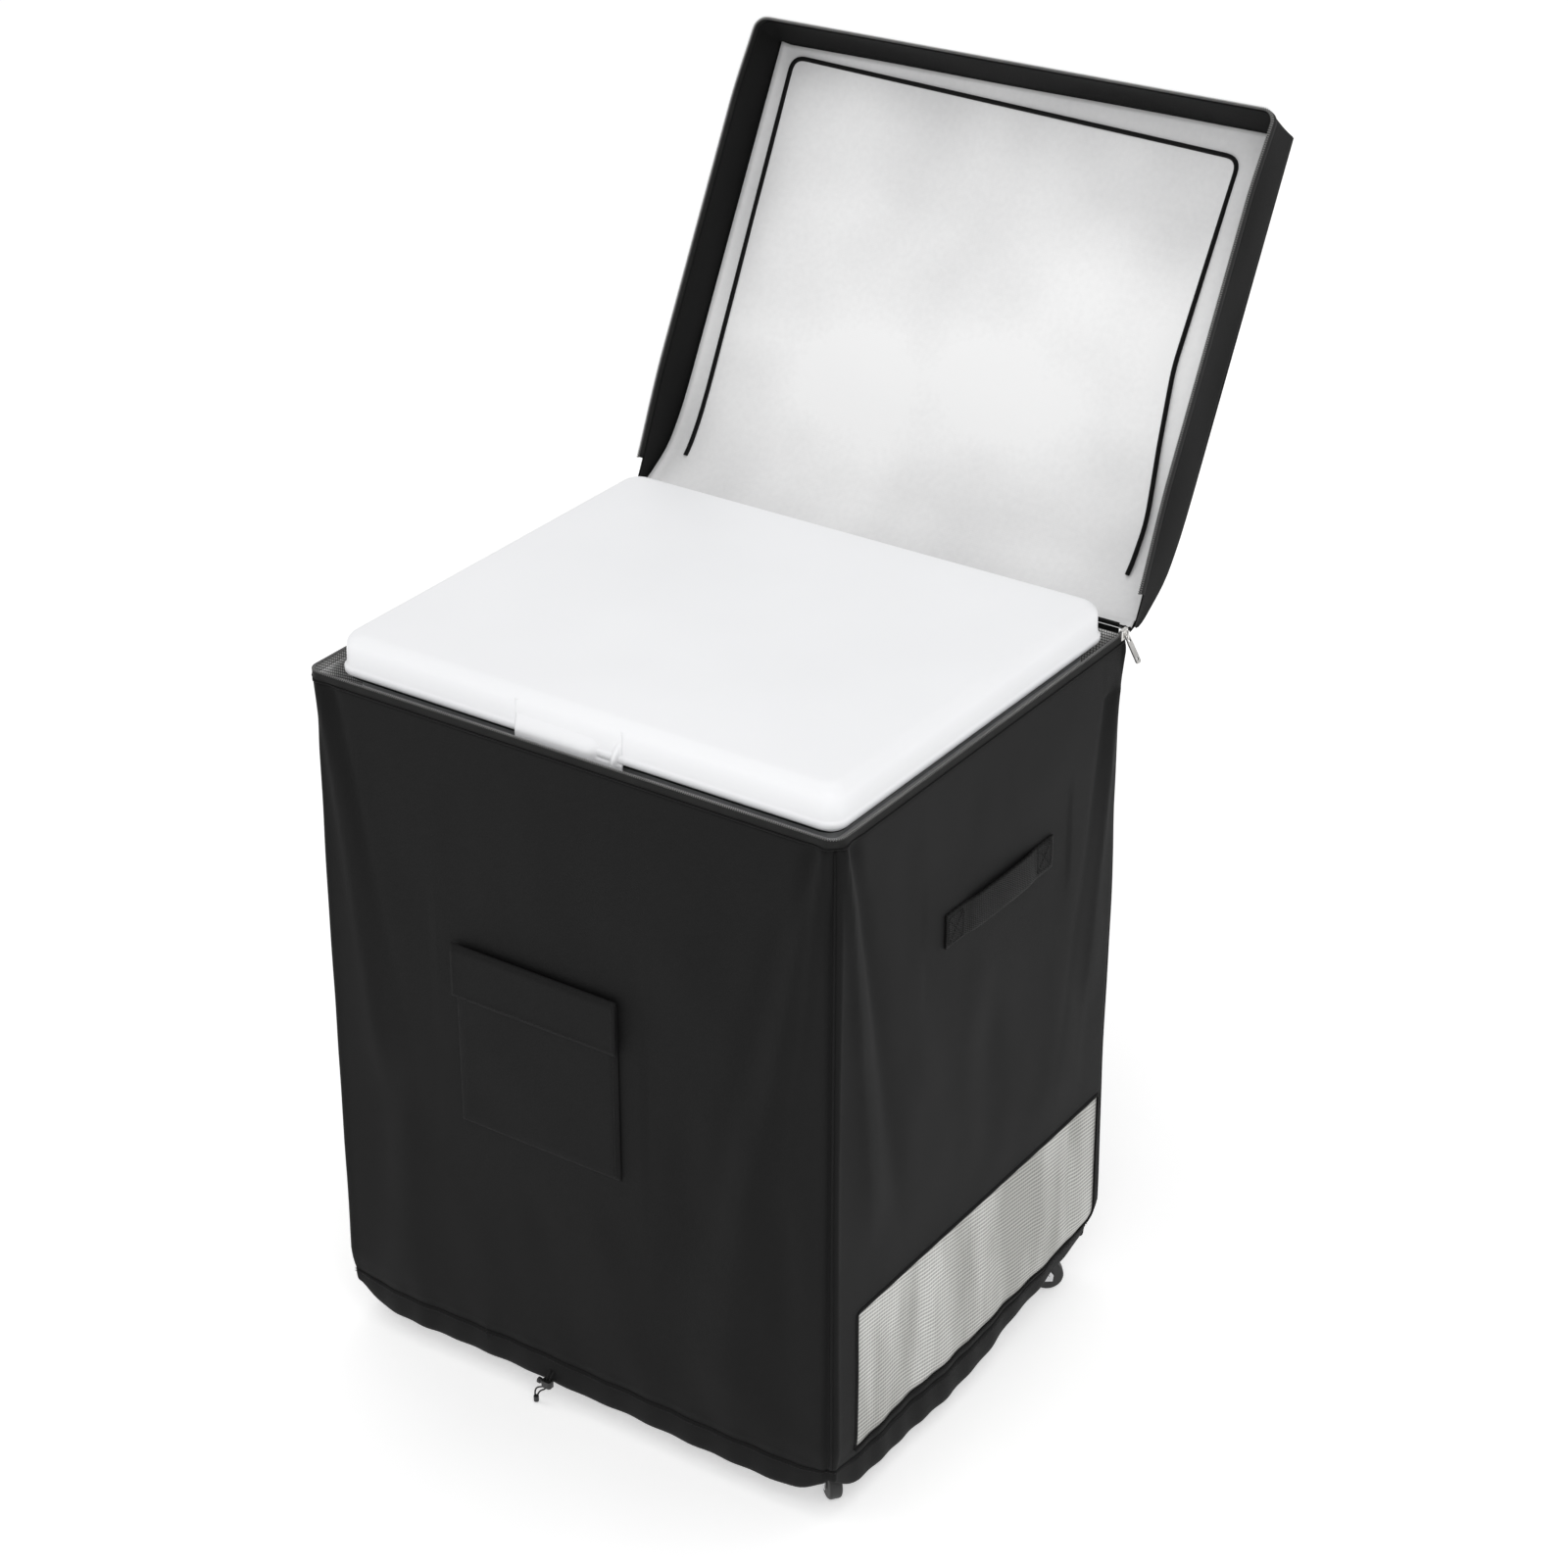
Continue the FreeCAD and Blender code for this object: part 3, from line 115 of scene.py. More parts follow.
class Shader:
    """A node material under construction: one Principled shader and short calls to feed it."""

    def __init__(self, name, roughness=0.5, metallic=0.0, **constants):
        self.material = bpy.data.materials.new(name)
        self.material.use_nodes = True
        self.tree = self.material.node_tree
        self.shader = self.tree.nodes["Principled BSDF"]
        self.shader.inputs["Roughness"].default_value = roughness
        self.shader.inputs["Metallic"].default_value = metallic
        for key, value in constants.items():
            self.shader.inputs[key.replace("_", " ")].default_value = value
        self.place = self.node("ShaderNodeTexCoord").outputs["Object"]

    def node(self, kind, **settings):
        made = self.tree.nodes.new(kind)
        for key, value in settings.items():
            setattr(made, key, value)
        return made

    def feed(self, made, **links):
        for key, value in links.items():
            socket = made.inputs[int(key[1:])] if key[0] == "i" and key[1:].isdigit() else made.inputs[key]
            if isinstance(value, bpy.types.NodeSocket):
                self.tree.links.new(value, socket)
            else:
                socket.default_value = value
        return made

    def math(self, operation, a, b=0.0):
        made = self.node("ShaderNodeMath", operation=operation)
        return self.feed(made, i0=a, i1=b).outputs[0]

    def times(self, a, b):
        return self.math("MULTIPLY", a, b)

    def plus(self, a, b):
        return self.math("ADD", a, b)

    def crests(self, threads, power):
        """Sharp lines where either thread is highest."""
        warp, weft = (self.math("POWER", self.math("ABSOLUTE", thread), power) for thread in threads)
        return self.math("MAXIMUM", warp, weft)

    def clouds(self, scale, detail=3.0, stretch=(1.0, 1.0, 1.0)):
        where = self.feed(self.node("ShaderNodeMapping"), Vector=self.place, Scale=stretch).outputs[0]
        return self.feed(self.node("ShaderNodeTexNoise"), Vector=where, Scale=scale, Detail=detail).outputs["Fac"]

    def ramp(self, value, low, high, start=0.3, end=0.7):
        made = self.node("ShaderNodeValToRGB")
        made.color_ramp.elements[0].position = start
        made.color_ramp.elements[1].position = end
        made.color_ramp.elements[0].color = (*low, 1.0)
        made.color_ramp.elements[1].color = (*high, 1.0)
        self.tree.links.new(value, made.inputs[0])
        return made.outputs[0]

    def spread(self, value, low, high):
        made = self.node("ShaderNodeMapRange")
        return self.feed(made, Value=value, i3=low, i4=high).outputs[0]

    def colour(self, socket):
        self.tree.links.new(socket, self.shader.inputs["Base Color"])

    def rough(self, socket):
        self.tree.links.new(socket, self.shader.inputs["Roughness"])

    def bump(self, height, strength, distance):
        made = self.node("ShaderNodeBump")
        self.feed(made, Height=height, Strength=strength, Distance=distance)
        self.tree.links.new(made.outputs[0], self.shader.inputs["Normal"])

    def threads(self, pitch_u, pitch_v, angle_mix=0.6):
        """Height of a plain weave: warp along u = x + y and weft along v = z + part of y."""
        axes = self.feed(self.node("ShaderNodeSeparateXYZ"), Vector=self.place)
        u = self.plus(axes.outputs[0], axes.outputs[1])
        v = self.plus(axes.outputs[2], self.times(axes.outputs[1], angle_mix))
        warp = self.math("SINE", self.times(u, math.tau / pitch_u))
        weft = self.math("SINE", self.times(v, math.tau / pitch_v))
        return warp, weft


def cloth_material(name, low, high, pitch=0.0016, roughness=0.70, sheen=0.012, strength=0.45, spec=0.16):
    s = Shader(name, roughness, Sheen_Weight=sheen, Sheen_Roughness=0.5, Specular_IOR_Level=spec)
    warp, weft = s.threads(pitch, pitch)
    weave = s.times(warp, weft)
    wear = s.clouds(7.0, 4.0)
    fuzz = s.clouds(420.0, 2.0)
    tone = s.plus(s.times(wear, 0.8), s.times(weave, 0.06))
    tone = s.plus(tone, s.times(fuzz, 0.12))
    s.colour(s.ramp(tone, low, high, 0.25, 0.72))
    s.rough(s.spread(wear, roughness - 0.08, roughness + 0.1))
    height = s.plus(weave, s.times(fuzz, 0.8))
    s.bump(height, strength, 0.0003)
    return s.material


def lining_material():
    s = Shader("lining_silver", 0.42, 0.0, Sheen_Weight=0.1, Specular_IOR_Level=0.6, Coat_Weight=0.12,
               Coat_Roughness=0.35)
    ridges = s.crests(s.threads(0.0052, 0.0052), 6.0)
    mottle = s.clouds(3.6, 2.0)
    fine = s.clouds(160.0, 3.0)
    tone = s.plus(s.times(mottle, 0.80), s.times(fine, 0.10))
    high = s.feed(s.node("ShaderNodeSeparateXYZ"), Vector=s.place).outputs[2]
    # Painted highlight: the lining's colour is lightened in a band round one height, where light falls brightest on
    # it.
    painted_highlight = s.spread(s.math("ABSOLUTE", s.math("SUBTRACT", high, FLAP_PAINTED_HIGHLIGHT_Z)), 0.30, 0.0)
    painted_highlight.node.inputs[2].default_value = 0.20
    tone = s.plus(tone, painted_highlight)
    s.colour(s.ramp(tone, (0.60, 0.60, 0.605), grey(0.93), 0.34, 0.74))
    s.rough(s.spread(mottle, 0.36, 0.52))
    s.bump(s.plus(s.times(ridges, 0.25), fine), 0.22, 0.0004)
    return s.material


def woven_lining_material():
    """The skirt's lining: a basket weave of silver tapes with dark gaps between them."""
    s = Shader("lining_woven", 0.45, 0.0, Specular_IOR_Level=0.5)
    gaps = s.crests(s.threads(0.0062, 0.0062), 5.0)
    soil = s.clouds(40.0, 3.0)
    tone = s.plus(s.times(gaps, 0.85), s.times(soil, 0.2))
    s.colour(s.ramp(tone, (0.62, 0.62, 0.61), grey(0.07), 0.35, 0.85))
    s.rough(s.spread(soil, 0.36, 0.55))
    s.bump(s.math("SUBTRACT", 1.0, gaps), 0.4, 0.0004)
    return s.material


def mesh_material():
    s = Shader("vent_knit", 0.7, Sheen_Weight=0.1, Specular_IOR_Level=0.35)
    warp, weft = s.threads(0.0090, 0.0096, 0.12)
    holes = s.times(s.plus(s.times(s.math("ABSOLUTE", warp), 0.35), 0.65),
                   s.math("ABSOLUTE", weft))
    streak = s.clouds(14.0, 4.0, (1.0, 1.0, 0.22))
    knit = s.ramp(holes, (0.74, 0.74, 0.72), (0.36, 0.36, 0.35), 0.25, 0.85)
    shade = s.ramp(streak, (0.66, 0.66, 0.64), (1.0, 1.0, 0.99), 0.36, 0.58)
    made = s.node("ShaderNodeMix", data_type="RGBA", blend_type="MULTIPLY")
    s.feed(made, i0=1.0, i6=knit, i7=shade)
    s.colour(made.outputs[2])
    s.bump(s.math("SUBTRACT", s.times(s.clouds(500.0), 0.3), holes), 0.6, 0.0006)
    return s.material


def ribbed_material(name, low, high, pitch, roughness=0.7):
    """Webbing, binding or zip tape: fine ribs along the band and a cross thread."""
    s = Shader(name, roughness, Sheen_Weight=0.02, Specular_IOR_Level=0.18)
    warp, weft = s.threads(pitch * 1.6, pitch, 0.3)
    rib = s.plus(weft, s.times(warp, 0.4))
    wear = s.clouds(30.0, 4.0)
    tone = s.plus(s.times(wear, 0.7), s.times(rib, 0.12))
    s.colour(s.ramp(tone, low, high, 0.2, 0.65))
    s.rough(s.spread(wear, roughness - 0.1, roughness + 0.12))
    s.bump(rib, 0.7, 0.0004)
    return s.material


def moulded_material(name, low, high, roughness, grain=350.0, strength=0.12, coat=0.0, spec=0.5):
    """Moulded plastic, enamel or rubber: a faint grain, soft tone changes and handling marks."""
    s = Shader(name, roughness, Coat_Weight=coat, Coat_Roughness=0.12, Specular_IOR_Level=spec)
    soft = s.clouds(6.0, 3.0)
    marks = s.clouds(55.0, 6.0, (1.0, 2.5, 1.0))
    tone = s.plus(s.times(soft, 0.75), s.times(marks, 0.25))
    s.colour(s.ramp(tone, low, high, 0.3, 0.62))
    s.rough(s.spread(marks, roughness * 0.8, roughness * 1.25))
    s.bump(s.clouds(grain, 2.0), strength, 0.0003)
    return s.material


def smooth_material(name, low, high, roughness):
    """Clean white mouldings: very soft tone changes, a faint orange peel and no marks."""
    s = Shader(name, roughness, Specular_IOR_Level=0.35)
    soft = s.clouds(4.0, 2.0)
    s.colour(s.ramp(soft, low, high, 0.3, 0.65))
    s.rough(s.spread(s.clouds(26.0, 3.0), roughness * 0.92, roughness * 1.08))
    s.bump(s.clouds(220.0, 2.0), 0.05, 0.0002)
    return s.material


def metal_material(name, low, high, roughness, stretch=(1.0, 1.0, 1.0)):
    s = Shader(name, roughness, 1.0)
    brushed = s.clouds(120.0, 4.0, stretch)
    soil = s.clouds(35.0, 5.0)
    s.colour(s.ramp(soil, low, high, 0.3, 0.6))
    s.rough(s.spread(s.plus(s.times(brushed, 0.6), s.times(soil, 0.4)),
                     roughness * 0.6, roughness * 1.7))
    s.bump(brushed, 0.12, 0.0002)
    return s.material


def lamp_material():
    s = Shader("lamp_lens", 0.18, Transmission_Weight=0.25, IOR=1.49, Coat_Weight=0.4)
    s.colour(s.ramp(s.clouds(300.0), (0.05, 0.24, 0.07), (0.10, 0.42, 0.13)))
    s.bump(s.clouds(600.0), 0.1, 0.0002)
    return s.material


MAT = {}
# Every material slot: its maker, then what the maker takes.
MATERIALS = (
    ("black_oxford", cloth_material, "oxford_black", (0.0030, 0.0030, 0.0031), grey(0.0062)),
    ("oxford_inner", cloth_material, "oxford_black_back", grey(0.003), grey(0.006)),
    ("silver_lining", lining_material),
    ("woven_lining", woven_lining_material),
    ("grey_mesh", mesh_material),
    ("black_binding", ribbed_material, "binding_black", grey(0.0020), grey(0.0060), 0.0011),
    ("black_webbing", ribbed_material, "webbing_black", grey(0.0016), grey(0.0045), 0.0021),
    ("zip_tape", ribbed_material, "zip_tape_black", grey(0.010), (0.024, 0.024, 0.023), 0.0009),
    ("zip_teeth", moulded_material, "zip_coil", grey(0.11), (0.21, 0.21, 0.205), 0.35),
    ("thread", ribbed_material, "thread_black", grey(0.012), grey(0.03), 0.0006),
    ("zip_metal", metal_material, "zip_nickel", (0.52, 0.51, 0.49), (0.80, 0.79, 0.77), 0.24),
    ("drawcord", ribbed_material, "cord_black", grey(0.010), (0.028, 0.028, 0.027), 0.0008),
    ("black_plastic", moulded_material, "plastic_black", grey(0.010), grey(0.022), 0.42),
    ("white_enamel", smooth_material, "enamel_white", (0.90, 0.905, 0.92), (0.93, 0.935, 0.95), 0.42),
    ("base_steel", metal_material, "steel_base", grey(0.30), grey(0.47), 0.45),
    ("insulation", moulded_material, "foam_yellow", (0.62, 0.52, 0.30), (0.78, 0.68, 0.42), 0.9, 240.0, 0.8),
    ("liner_plastic", moulded_material, "liner_white", (0.74, 0.76, 0.78), (0.84, 0.86, 0.87), 0.35),
    ("trim_plastic", moulded_material, "trim_grey", (0.34, 0.35, 0.36), (0.48, 0.49, 0.50), 0.45),
    ("white_plastic", smooth_material, "plastic_white", (0.89, 0.895, 0.91), (0.92, 0.925, 0.94), 0.42),
    ("gasket_rubber", moulded_material, "gasket_black", (0.006, 0.006, 0.0065), (0.014, 0.014, 0.015), 0.6),
    ("hinge_steel", metal_material, "steel_hinge", grey(0.44), (0.62, 0.62, 0.61), 0.35),
    ("compressor_black", moulded_material, "compressor_paint", grey(0.010), (0.022, 0.022, 0.024),
     0.38, 140.0, 0.35, 0.2),
    ("lamp_lens", lamp_material),
    ("coated_wire", moulded_material, "wire_white", (0.70, 0.71, 0.72), (0.83, 0.84, 0.84), 0.3, 220.0, 0.1, 0.3),
    ("caster_chrome", metal_material, "caster_chrome", (0.50, 0.50, 0.51), (0.78, 0.78, 0.79), 0.16),
    ("wheel_black", moulded_material, "wheel_rubber", grey(0.008), grey(0.020), 0.5, 160.0, 0.3),
)


def make_materials():
    for slot, maker, *values in MATERIALS:
        MAT[slot] = maker(*values)


def finish_cad_nodes():
    """Every carried-over CAD node takes the procedural material of its record slot."""
    for part in frame["record"]["subparts"]:
        obj = NODES[part["node"]]
        chosen = MAT[part["material_slot"]]
        if not obj.material_slots:
            obj.data.materials.append(chosen)
        for slot in obj.material_slots:
            slot.material = chosen


# ---------------------------------------------------------------- mesh helpers
def new_piece(name, points, faces, materials):
    mesh = bpy.data.meshes.new(name)
    mesh.from_pydata([tuple(p) for p in points], [], faces)
    for chosen in materials:
        mesh.materials.append(MAT[chosen])
    mesh.update()
    mesh.polygons.foreach_set("use_smooth", [True] * len(faces))
    obj = bpy.data.objects.new(name, mesh)
    bpy.context.scene.collection.objects.link(obj)
    return obj


def attach(piece, body, slot, *nodes):
    """The piece rides on a body and stands for the CAD nodes named, which are hidden; the slot it is given is not
    used.
    """
    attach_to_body(piece, body)
    if nodes:
        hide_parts(*nodes)


def sheet_faces(rows, cols, closed=False, keep=None, flip=False):
    faces = []
    for i in range(rows - 1):
        for j in range(cols if closed else cols - 1):
            if keep is not None and not keep(i, j):
                continue
            k = (j + 1) % cols
            quad = (i * cols + j, i * cols + k, (i + 1) * cols + k, (i + 1) * cols + j)
            faces.append(quad[::-1] if flip else quad)
    return faces


def thicken(obj, thickness, inner=0, rim=0):
    made = obj.modifiers.new("thickness", "SOLIDIFY")
    made.thickness = thickness
    made.offset = -1.0
    made.use_even_offset = False
    made.material_offset = inner
    made.material_offset_rim = rim
    return obj


def sheet_piece(name, points, materials, thickness, closed=False, keep=None, flip=False, inner=0, rim=0):
    """A cloth sheet from a grid of points (rows, columns, 3), given thickness behind its face."""
    rows, cols = points.shape[:2]
    used = sheet_faces(rows, cols, closed, keep, flip)
    order = sorted({v for f in used for v in f})
    renumber = {old: new for new, old in enumerate(order)}
    faces = [tuple(renumber[v] for v in f) for f in used]
    obj = new_piece(name, points.reshape(-1, 3)[order], faces, materials)
    return thicken(obj, thickness, inner, rim)


def unit(v):
    return v / np.maximum(np.linalg.norm(v, axis=-1, keepdims=True), 1e-12)


def frames_along(path, closed):
    """Two cross directions at each point of a path, turned smoothly along it."""
    if closed:
        tangent = unit(np.roll(path, -1, 0) - np.roll(path, 1, 0))
    else:
        tangent = unit(np.gradient(path, axis=0))
    start = np.array([0.0, 0.0, 1.0]) if abs(tangent[0][2]) < 0.9 else np.array([1.0, 0.0, 0.0])
    side = []
    for t in tangent:
        start = start - t * (start @ t)
        start = start / np.linalg.norm(start)
        side.append(start)
    side = np.array(side)
    return side, np.cross(tangent, side)


def tube(name, path, radius, material, sides=8, closed=False, flat=1.0):
    """A round or flattened bar along a path, with closed ends unless the path is a loop."""
    a, b = frames_along(path, closed)
    angles = np.arange(sides) * math.tau / sides
    ring = (a[:, None] * np.cos(angles)[None, :, None] * flat + b[:, None] * np.sin(angles)[None, :, None])
    points = path[:, None] + ring * radius
    faces = []
    n = len(path)
    for i in range(n if closed else n - 1):
        k = (i + 1) % n
        for j in range(sides):
            m = (j + 1) % sides
            faces.append((i * sides + j, i * sides + m, k * sides + m, k * sides + j))
    if not closed:
        faces.append(tuple(range(sides))[::-1])
        faces.append(tuple(range((n - 1) * sides, n * sides)))
    return new_piece(name, points.reshape(-1, 3), faces, [material])


def travelled(line):
    """Distance along a line at each of its points."""
    gaps = np.linalg.norm(np.diff(line, axis=0), axis=1)
    return np.concatenate([[0.0], np.cumsum(gaps)])


def spaced(line, count):
    """The same line as a number of evenly spaced points."""
    along = travelled(line)
    marks = np.linspace(0.0, along[-1], count)
    return np.stack([np.interp(marks, along, line[:, k]) for k in range(line.shape[1])], 1)


def resample(path, step, closed=False):
    """The same path with its points about a step apart."""
    if closed:
        path = np.vstack([path, path[:1]])
    count = max(2, int(round(travelled(path)[-1] / step)))
    points = spaced(path, count + 1)
    return points[:-1] if closed else points


def softened(corners, cut, count):
    """A line through corners, each cut off three times, as evenly spaced points."""
    line = np.array(corners)
    for _ in range(3):
        points = [line[0]]
        for a, b in zip(line, line[1:]):
            points += [a * (1.0 - cut) + b * cut, a * cut + b * (1.0 - cut)]
        line = np.array(points + [line[-1]])
    return spaced(line, count)


def chips(name, centres, lengths_dir, wide_dir, size, material):
    """Many small rounded bars: stitches, or the teeth of a zip. Each is a six-sided bar with tapered ends."""
    length, width, height = size
    along = unit(lengths_dir)
    wide = unit(wide_dir - along * (wide_dir * along).sum(1, keepdims=True))
    out = np.cross(along, wide)
    stations = ((-0.5, 0.35), (-0.32, 1.0), (0.32, 1.0), (0.5, 0.35))
    angles = np.arange(6) * math.tau / 6
    points = []
    for station, scale in stations:
        for angle in angles:
            points.append(centres + along * station * length
                          + wide * math.cos(angle) * scale * width / 2
                          + out * math.sin(angle) * scale * height / 2)
    points = np.stack(points, 1).reshape(-1, 3)
    faces = []
    for base in range(0, len(points), 24):
        for i in range(3):
            for j in range(6):
                k = (j + 1) % 6
                faces.append((base + i * 6 + j, base + i * 6 + k, base + i * 6 + 6 + k, base + i * 6 + 6 + j))
        faces.append(tuple(base + j for j in range(6))[::-1])
        faces.append(tuple(base + 18 + j for j in range(6)))
    return new_piece(name, points, faces, [material])


def stitch_rows(name, paths, normal, pitch=0.0042, length=0.0030, width=0.0009):
    """Running stitches along each path, standing on the surface whose outward direction is given."""
    centres = []
    along = []
    for path in paths:
        points = resample(path, pitch)
        centres.append((points[1:] + points[:-1]) / 2)
        along.append(points[1:] - points[:-1])
    centres = np.vstack(centres)
    along = unit(np.vstack(along))
    wide = np.cross(along, np.broadcast_to(np.asarray(normal, float), centres.shape))
    return chips(name, centres, along, wide, (length, width, width * 0.8), "thread")


def ease(value, start, end):
    """0 before start, 1 after end, and smooth between."""
    t = np.clip((value - start) / (end - start), 0.0, 1.0)
    return t * t * (3.0 - 2.0 * t)


def bell(distance, width):
    return np.exp(-(distance / width) ** 2)


def ripple(points, scale, seed):
    """Smooth noise at each point of an (n, 3) array."""
    shift = Vector((seed, seed * 1.7, -seed))
    values = [noise.noise(Vector(p * scale) + shift) for p in points.reshape(-1, 3)]
    return np.array(values).reshape(points.shape[:-1])


# ---------------------------------------------------------------- the hanging skirt as one surface
def skirt_columns():
    """Plan points round the skirt: position, outward direction, side and place along that side."""
    a = HALF_W - CORNER_R
    b = HALF_D - CORNER_R
    vent = (VENT_LOW.y, VENT_HIGH.y)
    front = ((-a, -HALF_D), (a, -HALF_D), (0, -1), ())
    right = ((HALF_W, -b), (HALF_W, b), (1, 0), vent)
    back = ((a, HALF_D), (-a, HALF_D), (0, 1), ())
    left = ((-HALF_W, b), (-HALF_W, -b), (-1, 0), vent[::-1])
    columns = []
    for k, (start, end, out, marks) in enumerate((front, right, back, left)):
        axis = k % 2
        breaks = [start[axis], *marks, end[axis]]
        places = []
        for lo, hi in zip(breaks, breaks[1:]):
            count = max(1, int(round(abs(hi - lo) / COLUMN_STEP)))
            places += list(np.linspace(lo, hi, count + 1)[:-1])
        places.append(end[axis])
        for place in places:
            xy = (place, start[1]) if axis == 0 else (start[0], place)
            columns.append((*xy, *out, k, place))
        centre = (end[0] - out[0] * CORNER_R, end[1] - out[1] * CORNER_R)
        angle = math.atan2(out[1], out[0])
        for i in range(1, 10):
            turn = angle + i * math.pi / 20
            nx, ny = math.cos(turn), math.sin(turn)
            columns.append((centre[0] + nx * CORNER_R, centre[1] + ny * CORNER_R, nx, ny, k + 0.5, 0.0))
    return np.array(columns)


COL = skirt_columns()
COUNT = len(COL)
COL_X, COL_Y, OUT_X, OUT_Y, SIDE, PLACE = COL.T
GAPS = np.linalg.norm(np.roll(COL[:, :2], -1, 0) - COL[:, :2], axis=1)
ARC = np.concatenate([[0.0], np.cumsum(GAPS)[:-1]])
TOTAL = GAPS.sum()
CORNERS = [ARC[SIDE == k + 0.5].mean() for k in range(4)]
# Folds as (side, place and height of the upper end, place and height of the lower end, half width, depth).
FOLDS = [
    (0, .290, .770, .205, .300, .016, .0052), (0, .268, .740, .150, .260, .020, -.0042),
    (0, .215, .500, .185, .080, .030, .0060), (0, .150, .470, .110, .080, .034, -.0048),
    (0, .255, .420, .262, .080, .022, -.0040), (0, -.292, .770, -.252, .340, .016, .0036),
    (0, -.225, .360, -.240, .080, .026, .0038), (0, -.060, .300, -.020, .070, .040, -.0030),
    (0, .020, .300, .060, .070, .034, .0034), (0, .100, .700, .130, .560, .040, .0024),
    (1, -.250, .785, -.196, .330, .020, .0066), (1, -.236, .770, -.150, .300, .020, -.0040),
    (1, -.120, .540, -.060, .260, .040, .0042), (1, .010, .520, .030, .250, .036, -.0036),
    (1, .252, .785, .222, .380, .018, .0044), (1, .150, .500, .180, .250, .040, .0036),
    (1, -.190, .250, -.120, .060, .018, -.0042), (1, -.110, .250, -.060, .060, .014, .0036),
    (1, .020, .250, .070, .060, .016, -.0044), (1, .120, .250, .150, .060, .013, .0036),
    (1, .190, .250, .205, .060, .012, -.0040),
    (2, .290, .780, .210, .320, .020, .0050), (2, .090, .560, .060, .120, .040, .0055),
    (2, -.060, .600, -.080, .110, .038, -.0048), (2, -.200, .520, -.170, .090, .034, .0052),
    (2, -.285, .780, -.230, .350, .018, .0044), (3, .250, .780, .200, .360, .018, .0046),
    (3, .060, .540, .030, .260, .040, .0040), (3, -.110, .520, -.080, .270, .036, -.0036),
    (3, -.250, .780, -.215, .350, .018, .0050), (3, .150, .250, .110, .060, .015, -.0040),
    (3, .010, .250, -.040, .060, .016, .0040), (3, -.150, .250, -.170, .060, .014, -.0036)]


def fold_depth(heights):
    """How far the cloth stands outward from its plan, for each height and column."""
    z = heights[:, None]
    place = PLACE[None]
    side = SIDE[None]
    depth = np.zeros((len(heights), COUNT))
    for k, high_at, high_z, low_at, low_z, width, amount in FOLDS:
        share = (high_z - z) / (high_z - low_z)
        middle = high_at + (low_at - high_at) * share
        reach = ease(z, low_z - 0.03, low_z + 0.06) * (1.0 - ease(z, high_z - 0.09, high_z + 0.01))
        wide = width * (0.55 + 0.65 * np.clip(share, 0.0, 1.0))
        kept = 0.75 if k == 0 else 0.55
        depth += np.where(side == k, kept * amount * reach * bell(place - middle, wide), 0.0)
    nearest = np.full(COUNT, 9.0)
    for corner in CORNERS:
        gap = (ARC - corner + TOTAL / 2) % TOTAL - TOTAL / 2
        nearest = np.where(np.abs(gap) < np.abs(nearest), gap, nearest)
    c = nearest[None, :]
    drop = RIM_Z - z
    # A ridge, a hollow and a pinch run down from each rim corner, and a seam ridge goes on to the foot.
    top = np.exp(-drop / 0.16) * ease(drop, 0.004, 0.022)
    depth += 0.0048 * top * bell(np.abs(c) - (0.009 + 0.12 * drop), 0.0060)
    depth -= 0.0052 * top * bell(np.abs(c) - (0.022 + 0.20 * drop), 0.0085)
    depth -= 0.0052 * top * bell(c, 0.0050)
    depth += 0.0018 * bell(c - 0.0055, 0.0034) * ease(drop, 0.03, 0.10)
    depth -= 0.0030 * bell(c + 0.0040, 0.0036) * ease(drop, 0.03, 0.10)
    # The foot is gathered, and tucked in more at its corners and at the back.
    low = 1.0 - ease(z, 0.050, 0.110)
    gather = np.sin(ARC * math.tau / 0.047 + 2.5 * np.sin(ARC * 9.0))
    depth += 0.0007 * low * gather * (1.0 - bell(c, 0.03))
    rear = ease(COL_Y, -0.05, HALF_D)
    depth -= (1.0 - ease(z, 0.045, 0.095)) * (0.0020 + 0.0050 * bell(c, 0.05) + 0.0110 * rear)
    points = np.stack([np.broadcast_to(COL_X, depth.shape), np.broadcast_to(COL_Y, depth.shape),
                       np.broadcast_to(z * 0.45, depth.shape)], -1)
    depth += 0.0034 * ripple(points, 7.0, 3.1) * ease(drop, 0.0, 0.12)
    depth += 0.0012 * ripple(points, 22.0, 8.3) * ease(drop, 0.01, 0.10)
    # The cloth lies calm round the pocket, the straps, the zip pulls and the vents' top edges.
    on_front = (side == 0) & (place > POCKET_LOW.x - 0.03) & (place < POCKET_HIGH.x + 0.03)
    calm = np.where(on_front, ease(np.abs(z - POCKET_MIDDLE_Z), 0.10, 0.19), 1.0)
    flank = (side == 1) | (side == 3)
    on_side = flank & (np.abs(place - STRAP_MIDDLE[0]) < 0.14)
    calm = calm * np.where(on_side, ease(np.abs(z - STRAP_MIDDLE[1]), 0.02, 0.09), 1.0)
    by_pull = flank & (place > HALF_D - 0.05) & (z > RIM_Z - 0.06)
    calm = calm * np.where(by_pull, ease(RIM_Z - z, 0.04, 0.10), 1.0)
    calm = calm * np.where(flank, 1.0 - 0.75 * bell(z - VENT_HIGH.z, 0.045), 1.0)
    depth = depth * calm
    return np.clip(depth, -0.018, 0.009) * ease(drop, 0.0, 0.012)


